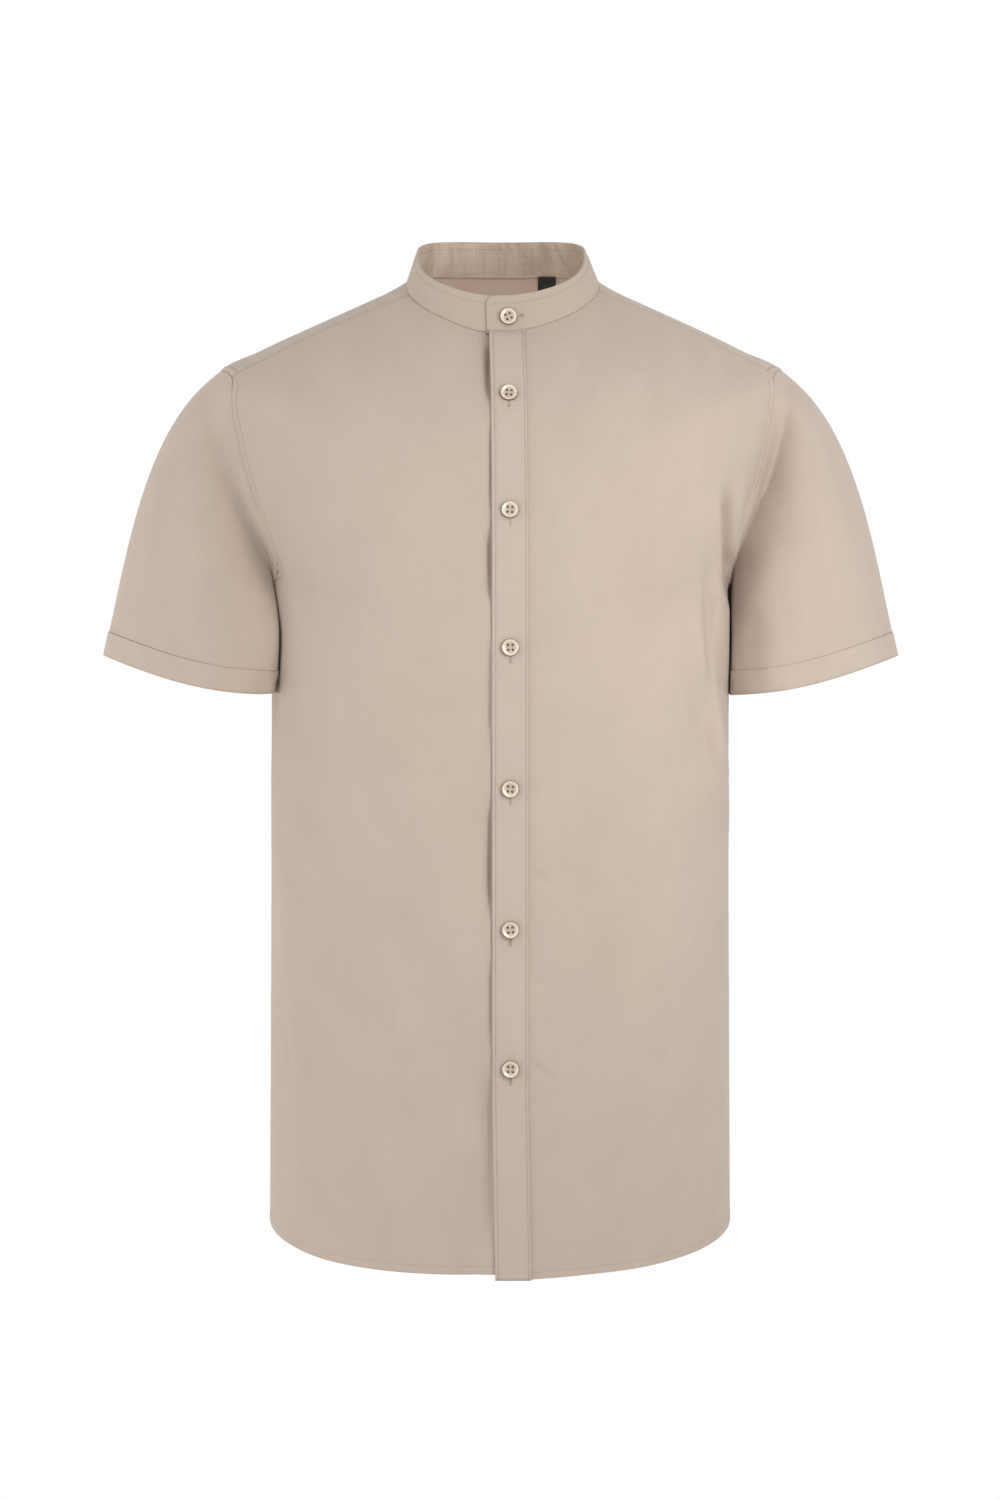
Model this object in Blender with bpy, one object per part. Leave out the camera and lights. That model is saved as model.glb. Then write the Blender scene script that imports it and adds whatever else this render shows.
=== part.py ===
"""A short-sleeved shirt with a mandarin collar, filled out as if worn, and hollow.

Metres, +Z up. The front faces -Y and +X is the viewer's right, the wearer's left. The
origin is the centre of the neck opening, level with the high point of the shoulders.

The body is one surface that falls like a cape: rings run round it from the neck seam,
out over the shoulders and down to the hem. A place on it is (turn, ring). The turn is
the angle from the centre front, positive on the wearer's left, and the ring is a row of
RINGS, with fractions between rows. Each seam is a short line of places, each panel is
the patch between its seams, and neighbours share their seam's places. A side is +1 for
the wearer's left and -1 for the right.
"""

import math

import bmesh
import bpy
import numpy as np

# Driving dimensions, in millimetres. Objects are made in metres.
MM = 0.001
WALL = 1.2  # cloth, with its turned edges and seam allowances
COLLAR_WALL = 1.6  # two layers and a stiffener
GAP = 0.3  # between neighbouring pieces

# Rings of the body. x is the ring's centre: the shirt sits a little to the wearer's left.
# Depths are from there to the centre front and back, square is the power of the outline
# (2 for an ellipse), and droop how late the height drops from the side to front or back.
RINGS = (
    # name, x, half_width, front, back, z_front, z_side, z_back, square, droop
    ("neck seam", 2, 72, 60, 58, -39, 2, 16, 2.15, 1.05),
    ("collarbone", 2, 85.5, 75, 72, -54, -4, 4, 2.15, 1.2),
    ("inner shoulder", 2, 112.5, 93, 90, -78, -16.2, -18, 2.2, 1.4),
    ("mid shoulder", 1.8, 145.5, 108, 105, -106, -31.3, -47, 2.25, 1.6),
    ("outer shoulder", 1, 180.5, 119, 117, -137, -48, -84, 2.3, 1.6),
    ("shoulder tip", 1, 211, 126, 124, -168, -65, -122, 2.35, 1.6),
    ("upper armhole", 0.5, 209, 130, 128, -195, -100, -158, 2.4, 1.6),
    ("mid armhole", 0, 198, 132, 130, -222, -142, -195, 2.4, 1.6),
    ("low armhole", 0, 184, 133, 131, -250, -184, -230, 2.4, 1.6),
    ("armpit", 0, 173, 133, 131, -276, -220, -262, 2.4, 1.6),
    ("chest", 0, 170.6, 133, 129, -310, -282, -305, 2.8, 1.6),
    ("ribs", 0, 170.6, 132, 124, -370, -360, -370, 2.9, 1.6),
    ("waist", 0, 170.6, 131, 119, -450, -450, -450, 2.8, 1.6),
    ("high hip", 0, 171, 130, 118, -540, -540, -540, 2.7, 1.6),
    ("hip", 0, 171.6, 129, 120, -630, -630, -630, 2.55, 1.6),
    ("tail", 0, 172.2, 128, 121, -740, -740, -740, 2.4, 1.6),
)

# The closed armholes, through these places, starting at the top. The sleeves hang a
# little differently, so the turns differ between the wearer's left and right.
ARMHOLE = (
    # name, turn on the left and on the right in degrees, ring
    ("shoulder tip", 90, 90, 4.97),
    ("front yoke corner", 77.5, 76, 4.9),
    ("front, high", 74.8, 72.7, 5.8),
    ("front, middle", 75, 70.8, 6.9),
    ("front, low", 73.6, 69, 8.0),
    ("front scoop", 78, 71.5, 8.72),
    ("armpit", 90, 90, 9.1),
    ("back scoop", 101, 101, 8.72),
    ("back, low", 107, 107, 8.0),
    ("back, middle", 108.5, 108.5, 6.9),
    ("back yoke corner", 107, 107, 5.8),
    ("back, top", 101, 101, 5.05),
)
YOKE_FRONT, PIT, YOKE_BACK = 1, 6, 10  # rows of ARMHOLE where seams meet it
# Turn in degrees where the front seam of the yoke meets the collar, on the left and right.
YOKE_AT_NECK = (80, 75)
YOKE_DROP = -86  # height of the back yoke seam at the centre back

# Seams are cut into this many straight runs.
NECK_RUNS, SHOULDER_RUNS, SIDE_RUNS = 11, 10, 13
YOKE_RUNS = 10  # from the centre back to the armhole
RUNS_PER_ROW = 2  # between two rows of ARMHOLE
SLEEVE_RUNS = 9

# The curved hem: highest at the side seams. The left front ends in a small point.
HEM_SIDE = -694.5
FRONT_TAIL, BACK_TAIL = 29.2, 34
LEFT_POINT, POINT_POWER = 4.3, 12

# The closing. The placket leans a little, so its centre moves with height.
PLACKET_WIDTH = 26
PLACKET_LINE = (
    # height, centre
    (-39, 4.8),
    (-90, 6.5),
    (-200, 7.3),
    (-600, 7.5),
    (-727, 9.6),
)
TUCK = 2.3  # the right front and the collar's right end lie this far under the left
TUCK_FROM, TUCK_TO = -46, -10  # they go under between these distances from the centre

# Collar band: its upper edge as a ring, like a row of RINGS.
COLLAR_TOP = (1, 62.5, 57.5, 54, -12.5, 26.5, 40.5, 2.35, 0.9)
COLLAR_END = -10  # x of its left end, which lies on top
COLLAR_UNDER = 18  # x of its right end, underneath
COLLAR_CORNER = 8  # radius of the round upper corner at each end
CORNER_RUNS = 4

# Buttons, by height along the placket's centre line; the first is on the collar.
BUTTON_HEIGHTS = (-28.6, -89.5, -175.2, -273.7, -375, -476, -576)
COLLAR_BUTTON_X = 6.6
BUTTON_ACROSS, BUTTON_THICK, BUTTON_RIM, BUTTON_DISH = 12.7, 2.8, 1.7, 0.8
BUTTON_HOLE, BUTTON_PITCH = 1.7, 3.0
BUTTON_SIDES, HOLE_SIDES = 18, 6

# Size label in the back neck seam, between these turns and rings.
LABEL_TURNS = (141.5, 150.5)
LABEL_RINGS = (0.12, 0.75)
LABEL_WALL = 1.0

# Sleeves. Each lengthwise line runs from the armhole to the hem as one Bezier curve.
# The values differ a little from side to side, as the sleeves hang. sweep moves the hem's
# inner edge forward and its outer edge back, for each millimetre from the hem's centre.
# belly is how much lower the hem's front hangs.
SLEEVES = (
    # name, side, hem centre x, y, z, half_width, half_depth, sweep, belly
    ("left_sleeve", 1, 232.5, -24, -291, 66, 58, 0.25, 7),
    ("right_sleeve", -1, 232.4, -34, -290.5, 65, 60, 0.4, 7.5),
)
SLEEVE_TILT = math.radians(13)  # the hem rises outwards
SLEEVE_SQUARE = 2.15
LEAVE_TOP, LEAVE_PIT = (0.83, 0.0, -0.56), (0.05, -0.1, -1.0)
ARRIVE = (0.21, -0.1, -0.97)
LEAVE_PULL, ARRIVE_PULL = 0.3, 0.35
ARM_CLEAR, ARM_SOFT = 1.2, 2.5  # between a sleeve and the body's side

# The largest folds of the body: soft ridges and hollows along a leaning line.
FOLDS = (
    # name, turn at top, turn at foot, z_top, z_foot, half_breadth, height
    ("hollow under the left arm", 66, 82, -232, -400, 15, -4.0),
    ("crease beside it", 57, 78, -255, -420, 13, 2.6),
    ("hollow under the right arm", -70, -78, -235, -370, 17, -2.6),
    ("long fold, left", 48, 40, -420, -745, 24, 1.8),
    ("long fold, right", -46, -52, -480, -745, 26, 1.6),
    ("hollow beside the placket", -9, -8, -620, -745, 9, -1.6),
    ("back fold, left", 158, 150, -300, -745, 26, 2.4),
    ("back fold, right", -156, -149, -330, -745, 26, 2.4),
)
FOLD_ENDS_OPEN = -740  # a fold that reaches this low runs out at the hem

COLOURS = {
    # sRGB, roughness
    "cloth": ((0.80, 0.73, 0.67), 0.85),
    "collar": ((0.76, 0.69, 0.63), 0.85),
    "button": ((0.83, 0.78, 0.71), 0.3),
    "label": ((0.14, 0.15, 0.15), 0.8),
}

LEFT, RIGHT = 1, -1
FULL_TURN = 2 * math.pi


def spline(rows, at):
    """Catmull-Rom through evenly spaced rows, straight on past both ends."""
    at = min(max(at, 0.0), len(rows) - 1.0)
    i = min(int(at), len(rows) - 2)
    f = at - i
    b, c = rows[i], rows[i + 1]
    a = rows[i - 1] if i else 2 * b - c
    d = rows[i + 2] if i + 2 < len(rows) else 2 * c - b
    return b + 0.5 * f * (c - a + f * (2 * a - 5 * b + 4 * c - d + f * (3 * (b - c) + d - a)))


def smooth(x):
    """0 below 0, 1 above 1, an S between."""
    x = min(max(x, 0.0), 1.0)
    return x * x * (3 - 2 * x)


def unit(vector):
    return vector / np.linalg.norm(vector)


def between(first, last, runs):
    """Evenly spaced values or places from first to last."""
    return [first + (last - first) * i / runs for i in range(runs + 1)]


# The body's surface.

RING_ROWS = [np.array(row[1:], float) for row in RINGS]
COLLAR_ROW = np.array(COLLAR_TOP, float)
NECK = RING_ROWS[0]


def on_ring(row, turn):
    """The point of one ring at this turn."""
    x, half_width, front, back, z_front, z_side, z_back, square, droop = row
    s, c = math.sin(turn), math.cos(turn)
    depth, z_middle = (front, z_front) if c > 0 else (back, z_back)
    reach = (abs(s / half_width) ** square + abs(c / depth) ** square) ** (-1 / square)
    rise = z_middle - z_side
    share = abs(c) ** droop if rise < 0 else abs(c) * (2 - abs(c))
    return np.array((x + reach * s, -reach * c, z_side + rise * share))


def bare(turn, ring):
    """The body's surface, before any fold."""
    return on_ring(spline(RING_ROWS, ring), turn)


def normal(turn, ring):
    step = 0.01
    round_it = bare(turn + step, ring) - bare(turn - step, ring)
    down = bare(turn, min(ring + step, len(RINGS) - 1)) - bare(turn, max(ring - step, 0))
    return unit(np.cross(down, round_it))


def fold(turn, point):
    """How far the folds push the surface out."""
    total = 0.0
    turn = math.degrees(math.remainder(turn, FULL_TURN))
    for _, top_turn, foot_turn, z_top, z_foot, half_breadth, height in FOLDS:
        along = (z_top - point[2]) / (z_top - z_foot)
        if not 0 < along < 1:
            continue
        middle = top_turn + (foot_turn - top_turn) * along
        away = math.radians(turn - middle) * math.hypot(point[0], point[1]) / half_breadth
        fade_in = smooth(along * 3)
        fade_out = 1.0 if z_foot < FOLD_ENDS_OPEN else smooth((1 - along) * 2)
        total += height * fade_in * fade_out * math.exp(-away * away)
    return total


def body(turn, ring, out=0.0):
    """The body's outer surface, or a surface this far outside it."""
    point = bare(turn, ring)
    return point + normal(turn, ring) * (fold(turn, point) + out)


def ring_at(turn, z):
    """The ring that passes through this height at this turn."""
    low, high = 0.0, len(RINGS) - 1.0
    for _ in range(30):
        middle = (low + high) / 2
        if bare(turn, middle)[2] > z:
            low = middle
        else:
            high = middle
    return low


def turn_at(x, ring):
    """The turn near the centre front at which this ring is at x."""
    row = spline(RING_ROWS, ring)
    return math.atan2(x - row[0], row[2])


def tuck(x):
    """How deep the right side of the closing lies under the left side."""
    return TUCK * smooth((x - TUCK_FROM) / (TUCK_TO - TUCK_FROM))


def placket_centre(z):
    heights, centres = zip(*PLACKET_LINE)
    return np.interp(-z, [-height for height in heights], centres)


# Seams, as lists of places (turn, ring).


def armhole_rows(side):
    column = 1 if side == LEFT else 2
    return [np.array((side * math.radians(row[column]), row[3])) for row in ARMHOLE]


ARMHOLE_ROWS = {side: armhole_rows(side) for side in (LEFT, RIGHT)}


def armhole(side, row):
    """The place on the armhole at this row of ARMHOLE, with fractions."""
    first = math.floor(row)
    around = [ARMHOLE_ROWS[side][(first + k) % len(ARMHOLE)] for k in (-1, 0, 1, 2)]
    return spline(around, 1 + row - first)


def armhole_stretch(side, first, last):
    return [armhole(side, row) for row in between(first, last, abs(last - first) * RUNS_PER_ROW)]


def neck_corner(side):
    return np.array((side * math.radians(YOKE_AT_NECK[0 if side == LEFT else 1]), 0.0))


def shoulder_seam(side):
    return between(neck_corner(side), armhole(side, YOKE_FRONT), SHOULDER_RUNS)


def side_seam(side):
    turn = side * math.pi / 2
    rings = between(armhole(side, PIT)[1], ring_at(turn, HEM_SIDE), SIDE_RUNS)
    return [np.array((turn, ring)) for ring in rings]


def back_yoke_seam(side):
    """Places from the centre back to the armhole, nearly level."""
    corner = armhole(side, YOKE_BACK)
    z_corner = bare(*corner)[2]
    places = []
    for share, turn in zip(between(0, 1, YOKE_RUNS), between(side * math.pi, corner[0], YOKE_RUNS)):
        z = YOKE_DROP + (z_corner - YOKE_DROP) * share**2
        places.append(np.array((turn, ring_at(turn, z))))
    return places


def front_hem(side):
    def ring(turn):
        rise = smooth(abs(math.cos(turn))) ** 0.75
        point = LEFT_POINT * math.cos(turn) ** POINT_POWER if side == LEFT else 0
        return ring_at(turn, HEM_SIDE - FRONT_TAIL * rise - point)

    return ring


def back_hem(turn):
    return ring_at(turn, HEM_SIDE - BACK_TAIL * smooth(abs(math.cos(turn))) ** 0.75)


def stretched(stretches):
    """Rings evenly spaced within each (first, last, runs)."""
    rings = [stretches[0][0]]
    for first, last, runs in stretches:
        rings += between(first, last, runs)[1:]
    return rings


def patch(top, foot, start, finish):
    """Places that fill the patch between four seams: a Coons patch, row by row."""
    rows = []
    for i in range(len(start)):
        v = i / (len(start) - 1)
        row = []
        for j in range(len(top)):
            u = j / (len(top) - 1)
            sides = (1 - u) * start[i] + u * finish[i] + (1 - v) * top[j] + v * foot[j]
            corners = (
                (1 - u) * (1 - v) * top[0]
                + u * (1 - v) * top[-1]
                + (1 - u) * v * foot[0]
                + u * v * foot[-1]
            )
            row.append(sides - corners)
        rows.append(row)
    return rows


# The collar and the sleeves, and the mitres where they meet the body.


def collar(turn, height, out=0.0):
    """A point of the collar and the way out; height is 0 at the neck seam and 1 at the edge.

    The foot of the collar moves out as the body does there, so that their seam stays shut.
    """
    foot, top = bare(turn, 0), on_ring(COLLAR_ROW, turn)
    step = 0.01
    round_it = on_ring(COLLAR_ROW, turn + step) - on_ring(COLLAR_ROW, turn - step)
    outward = unit(np.cross(foot - top, round_it))
    way = outward * height + normal(turn, 0) * (1 - height)
    return foot + (top - foot) * height + way * out, outward


def shares_round_armhole(side):
    """How far round the armhole each of these rows is, as a share of its length."""
    rows = np.linspace(0, len(ARMHOLE), 241)
    points = np.array([bare(*armhole(side, row)) for row in rows])
    lengths = np.linalg.norm(np.diff(points, axis=0), axis=1)
    return rows, np.concatenate([[0], np.cumsum(lengths)]) / lengths.sum()


ROUND_ARMHOLE = {side: shares_round_armhole(side) for side in (LEFT, RIGHT)}


def side_of_body(y, z):
    """x of the body's side at this place, on the wearer's left."""
    turn = math.pi / 2
    for _ in range(4):
        _, half_width, front, back, *_, square, _ = spline(RING_ROWS, ring_at(turn, z))
        depth = front if y < 0 else back
        x = half_width * max(1 - abs(y / depth) ** square, 0.05) ** (1 / square)
        turn = math.atan2(x, -y)
    return x


def sleeve(shape, row, along):
    """A point of a sleeve: along is 0 at the armhole and 1 at the hem.

    It is worked out on the wearer's left and mirrored for the right.
    """
    _, side, x, y, z, half_width, half_depth, sweep, belly = shape
    flip = np.array((side, 1, 1))
    angle = FULL_TURN * np.interp(row % len(ARMHOLE), *ROUND_ARMHOLE[side])
    s, c = math.sin(angle), math.cos(angle)
    reach = (abs(s) ** SLEEVE_SQUARE + abs(c) ** SLEEVE_SQUARE) ** (-1 / SLEEVE_SQUARE)
    outward = half_width * c * reach
    hem = np.array(
        (
            x + outward * math.cos(SLEEVE_TILT),
            y - half_depth * s * reach + sweep * outward,
            z + outward * math.sin(SLEEVE_TILT) - belly * max(s, 0) ** 2 * (1 - c / 3),
        )
    )
    start = bare(*armhole(side, row)) * flip
    length = np.linalg.norm(hem - start)
    top_share = (1 + c) / 2
    leave = unit(top_share * np.array(LEAVE_TOP) + (1 - top_share) * np.array(LEAVE_PIT))
    first = start + leave * length * LEAVE_PULL
    last = hem - unit(np.array(ARRIVE)) * length * ARRIVE_PULL
    left = 1 - along
    point = left**3 * start + 3 * left**2 * along * first
    point += 3 * left * along**2 * last + along**3 * hem
    if point[2] < bare(math.pi / 2, 7)[2]:  # beside the body, it is pushed clear of it
        ramp = min(along * 4, 1.0)
        past = point[0] - side_of_body(point[1], point[2]) - ARM_CLEAR * ramp
        point[0] += (math.hypot(past, ARM_SOFT * ramp) - past) / 2
    return point * flip


def sleeve_normal(shape, row, along):
    step, near = 0.02, min(along + 0.02, 1.0)
    round_it = sleeve(shape, row - step, along) - sleeve(shape, row + step, along)
    down = sleeve(shape, row, near) - sleeve(shape, row, near - 0.02)
    return unit(np.cross(down, round_it)) * shape[1]


def mitre(first, second, wall):
    """From the outer corner to the inner corner where walls with these normals meet."""
    inward = -(first + second)
    half_cosine = max(np.linalg.norm(inward) / 2, 1e-3)
    return unit(inward) * wall * min(1 / half_cosine, 2.5)


def neck_mitre(turn, wall):
    return mitre(normal(turn, 0), collar(turn, 0)[1], wall)


def place_key(place):
    return round(math.remainder(place[0], FULL_TURN), 6), round(place[1], 6)


def armhole_mitres():
    """The mitre at each place that a panel shares with a sleeve."""
    found = {}
    for shape in SLEEVES:
        for row in sleeve_rows():
            place = armhole(shape[1], row)
            found[place_key(place)] = mitre(normal(*place), sleeve_normal(shape, row, 0.0), WALL)
    return found


def sleeve_rows():
    return between(0, len(ARMHOLE), len(ARMHOLE) * RUNS_PER_ROW)[:-1]


# Meshes.


def make_object(name, points, faces, material):
    mesh = bpy.data.meshes.new(name)
    mesh.from_pydata([tuple(point * MM) for point in points], [], faces)
    mesh.materials.append(material)
    mesh.shade_smooth()
    mesh.set_sharp_from_angle(angle=math.radians(40))
    obj = bpy.data.objects.new(name, mesh)
    bpy.context.scene.collection.objects.link(obj)
    return obj


def part_at_seams(outer, inward, tube):
    """Moves each edge row sideways off its seam by half of GAP."""
    outer = outer.copy()
    edges = [(outer[0], outer[1], inward[0]), (outer[-1], outer[-2], inward[-1])]
    if not tube:
        edges += [
            (outer[:, 0], outer[:, 1], inward[:, 0]),
            (outer[:, -1], outer[:, -2], inward[:, -1]),
        ]
    moves = []
    for edge, neighbour, into in edges:
        along = np.roll(edge, -1, 0) - np.roll(edge, 1, 0) if tube else np.gradient(edge, axis=0)
        sideways = np.cross(along, into)
        sideways /= np.linalg.norm(sideways, axis=1, keepdims=True)
        own_side = neighbour - edge
        own_side = own_side / np.linalg.norm(own_side, axis=1, keepdims=True)
        sideways *= np.sign((sideways * own_side).sum(1))[:, None]
        moves.append(sideways * GAP / 2)
    for (edge, _, _), move in zip(edges, moves):
        edge += move
    return outer


def wall(name, outer, inward, material, tube=False):
    """A closed wall: outer points in rows and columns, and the step to each inner point."""
    outer, inward = np.array(outer), np.array(inward)
    outer = part_at_seams(outer, inward, tube)
    rows, columns = outer.shape[:2]
    points = np.concatenate([outer.reshape(-1, 3), (outer + inward).reshape(-1, 3)])
    inner = rows * columns
    faces = []

    def quad(a, b, c, d):
        """Two triangles, split along the shorter diagonal."""
        if np.linalg.norm(points[c] - points[a]) < np.linalg.norm(points[d] - points[b]):
            faces.extend([(a, b, c), (a, c, d)])
        else:
            faces.extend([(a, b, d), (b, c, d)])

    def rim(a, b, ahead):
        """Closes the edge from a to b. All walls split it the same way, so seams fit."""
        for triangle in ((a, b, inner + b), (a, inner + b, inner + a)):
            faces.append(triangle if ahead else triangle[::-1])

    across = columns if tube else columns - 1
    for i in range(rows - 1):
        for j in range(across):
            k = (j + 1) % columns
            a, b = i * columns + j, i * columns + k
            c, d = b + columns, a + columns
            quad(a, d, c, b)
            quad(inner + a, inner + b, inner + c, inner + d)
    for j in range(across):
        k = (j + 1) % columns
        rim(j, k, True)
        rim((rows - 1) * columns + j, (rows - 1) * columns + k, False)
    if not tube:
        for i in range(rows - 1):
            a, b = i * columns, (i + 1) * columns
            rim(a, b, False)
            rim(a + columns - 1, b + columns - 1, True)
    return make_object(name, points, faces, material)


def panel(places, mitres, lower=lambda x: 0.0, out=0.0):
    """Outer points and inward steps of a panel, from its patch of places."""
    outer, inward = [], []
    for row in places:
        outer_row, inward_row = [], []
        for place in row:
            outer_row.append(body(*place, out - lower(bare(*place)[0])))
            if place[1] < 1e-6:
                step = neck_mitre(place[0], WALL)
            else:
                step = mitres.get(place_key(place), -normal(*place) * WALL)
            inward_row.append(step)
        outer.append(outer_row)
        inward.append(inward_row)
    return outer, inward


def overlay(name, places, below, thickness, material):
    """A band that lies on the body's surface, or under it, made from the same places."""
    outer, _ = panel(places, {}, out=below + thickness)
    inner, _ = panel(places, {}, out=below)
    wall(name, outer, np.array(inner) - np.array(outer), material)


def closing_column(rings, offset):
    """Places along the placket, this far from its centre line."""
    places = []
    for ring in rings:
        x = placket_centre(bare(0, ring)[2]) + offset
        places.append(np.array((turn_at(x, ring), ring)))
    return places


def front_places(side):
    """Places of a front: columns under the placket, then the patch out to the seams."""
    hem = front_hem(side)
    rings = stretched(
        (
            (0.0, armhole(side, YOKE_FRONT)[1], SHOULDER_RUNS),
            (armhole(side, YOKE_FRONT)[1], armhole(side, PIT)[1], (PIT - YOKE_FRONT) * RUNS_PER_ROW),
            (armhole(side, PIT)[1], hem(0), SIDE_RUNS),
        )
    )
    half = PLACKET_WIDTH / 2
    under = [closing_column(rings, offset) for offset in (side * (1 - half), 0, side * half)]
    start = under[-1]
    finish = shoulder_seam(side)
    finish += armhole_stretch(side, YOKE_FRONT, PIT)[1:]
    finish += side_seam(side)[1:]
    neckline = [np.array((turn, 0.0)) for turn in between(start[0][0], finish[0][0], NECK_RUNS)]
    foot = [
        np.array((turn, hem(turn))) for turn in between(start[-1][0], finish[-1][0], NECK_RUNS)
    ]
    start[-1] = foot[0]
    field = patch(neckline, foot, start, finish)
    places = [[under[0][i], under[1][i]] + row for i, row in enumerate(field)]
    return places if side == LEFT else [row[::-1] for row in places]


def build_fronts(mitres, material):
    places = front_places(LEFT)
    wall("left_front", *panel(places, mitres), material)

    half = PLACKET_WIDTH / 2
    rings = [row[1][1] for row in places]
    first = closing_column(rings, -half)
    band = [[start, row[1], row[2]] for start, row in zip(first, places)]
    overlay("front_placket", band, GAP, WALL, material)

    wall("right_front", *panel(front_places(RIGHT), mitres, lower=tuck), material)


def turned_on(places):
    """Places of the wearer's right, with turns counted on past the centre back."""
    return [np.array((place[0] % FULL_TURN, place[1])) for place in places]


def build_back(mitres, material):
    halves = []
    for side in (LEFT, RIGHT):
        seam = back_yoke_seam(side)
        finish = armhole_stretch(side, YOKE_BACK, PIT) + side_seam(side)[1:]
        middle = side * math.pi
        pit = armhole(side, PIT)[1]
        rings = stretched(
            ((seam[0][1], pit, (YOKE_BACK - PIT) * RUNS_PER_ROW), (pit, back_hem(middle), SIDE_RUNS))
        )
        start = [np.array((middle, ring)) for ring in rings]
        foot = [
            np.array((turn, back_hem(turn))) for turn in between(middle, finish[-1][0], YOKE_RUNS)
        ]
        halves.append(patch(seam, foot, start, finish))
    places = [
        left[::-1] + turned_on(right[1:]) for left, right in zip(halves[0], halves[1])
    ]
    wall("back", *panel(places, mitres), material)


def build_yoke(mitres, material):
    rims = []
    for side in (LEFT, RIGHT):
        arm = armhole_stretch(side, YOKE_FRONT, YOKE_BACK - len(ARMHOLE))
        rims.append(arm[:-1] + back_yoke_seam(side)[::-1])
    rim = rims[0] + turned_on(rims[1][::-1][1:])
    ends = neck_corner(LEFT)[0], FULL_TURN + neck_corner(RIGHT)[0]
    neck = [np.array((turn, 0.0)) for turn in between(*ends, len(rim) - 1)]
    rows = [
        [start + (end - start) * share for start, end in zip(neck, rim)]
        for share in between(0, 1, SHOULDER_RUNS)
    ]
    wall("yoke", *panel(rows, mitres), material)
    return [place[0] for place in neck]


def collar_turns(yoke_turns):
    """Turns of the collar's columns, from its left end on top round to its right end."""
    ends = []
    for x, inward in ((COLLAR_END, 1), (COLLAR_UNDER, -1)):
        steps = between(0, 1, CORNER_RUNS)
        ends.append([turn_at(x + inward * COLLAR_CORNER * step**2, 0) for step in steps])
    centre, half = placket_centre(NECK[4]), PLACKET_WIDTH / 2
    left = between(turn_at(centre + half, 0), yoke_turns[0], NECK_RUNS)
    right = between(yoke_turns[-1], FULL_TURN + turn_at(centre - half, 0), NECK_RUNS)
    middle = turn_at(centre, 0)
    turns = ends[0] + [middle] + left + yoke_turns[1:-1] + right + [FULL_TURN + middle]
    return turns + [FULL_TURN + turn for turn in ends[1][::-1]]


def build_collar(yoke_turns, material):
    """The collar is one strip, its left end on top and its right end underneath."""
    turns = collar_turns(yoke_turns)
    x_left, x_right = bare(turns[0], 0)[0], bare(turns[-1], 0)[0]
    outer, inward = [], []
    for height in (1.0, 0.5, 0.0):
        outer_row, inward_row = [], []
        for turn in turns:
            x = bare(turn, 0)[0]
            to_end, lower = COLLAR_CORNER, 0.0
            if turn < 0.5 * math.pi:
                to_end = x - x_left
            elif turn > 1.5 * math.pi:
                to_end, lower = x_right - x, tuck(x)
            short = 1 - min(to_end / COLLAR_CORNER, 1)
            tall = np.linalg.norm(on_ring(COLLAR_ROW, turn) - bare(turn, 0))
            cut = COLLAR_CORNER / tall * (1 - math.sqrt(1 - short**2))
            point, outward = collar(turn, height * (1 - cut), -lower)
            outer_row.append(point)
            inward_row.append(-outward * COLLAR_WALL if height else neck_mitre(turn, COLLAR_WALL))
        outer.append(outer_row)
        inward.append(inward_row)
    wall("collar_band", outer, inward, material)


def build_sleeves(material):
    for shape in SLEEVES:
        name, side = shape[:2]
        outer, inward = [], []
        for along in between(0, 1, SLEEVE_RUNS):
            outer_row, inward_row = [], []
            for row in sleeve_rows():
                outer_row.append(sleeve(shape, row, along))
                outward = sleeve_normal(shape, row, along)
                step = -outward * WALL
                if along == 0:
                    step = mitre(normal(*armhole(side, row)), outward, WALL)
                inward_row.append(step)
            outer.append(outer_row[::-side])  # so that both tubes are wound the same way
            inward.append(inward_row[::-side])
        wall(name, outer, inward, material, tube=True)


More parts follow.
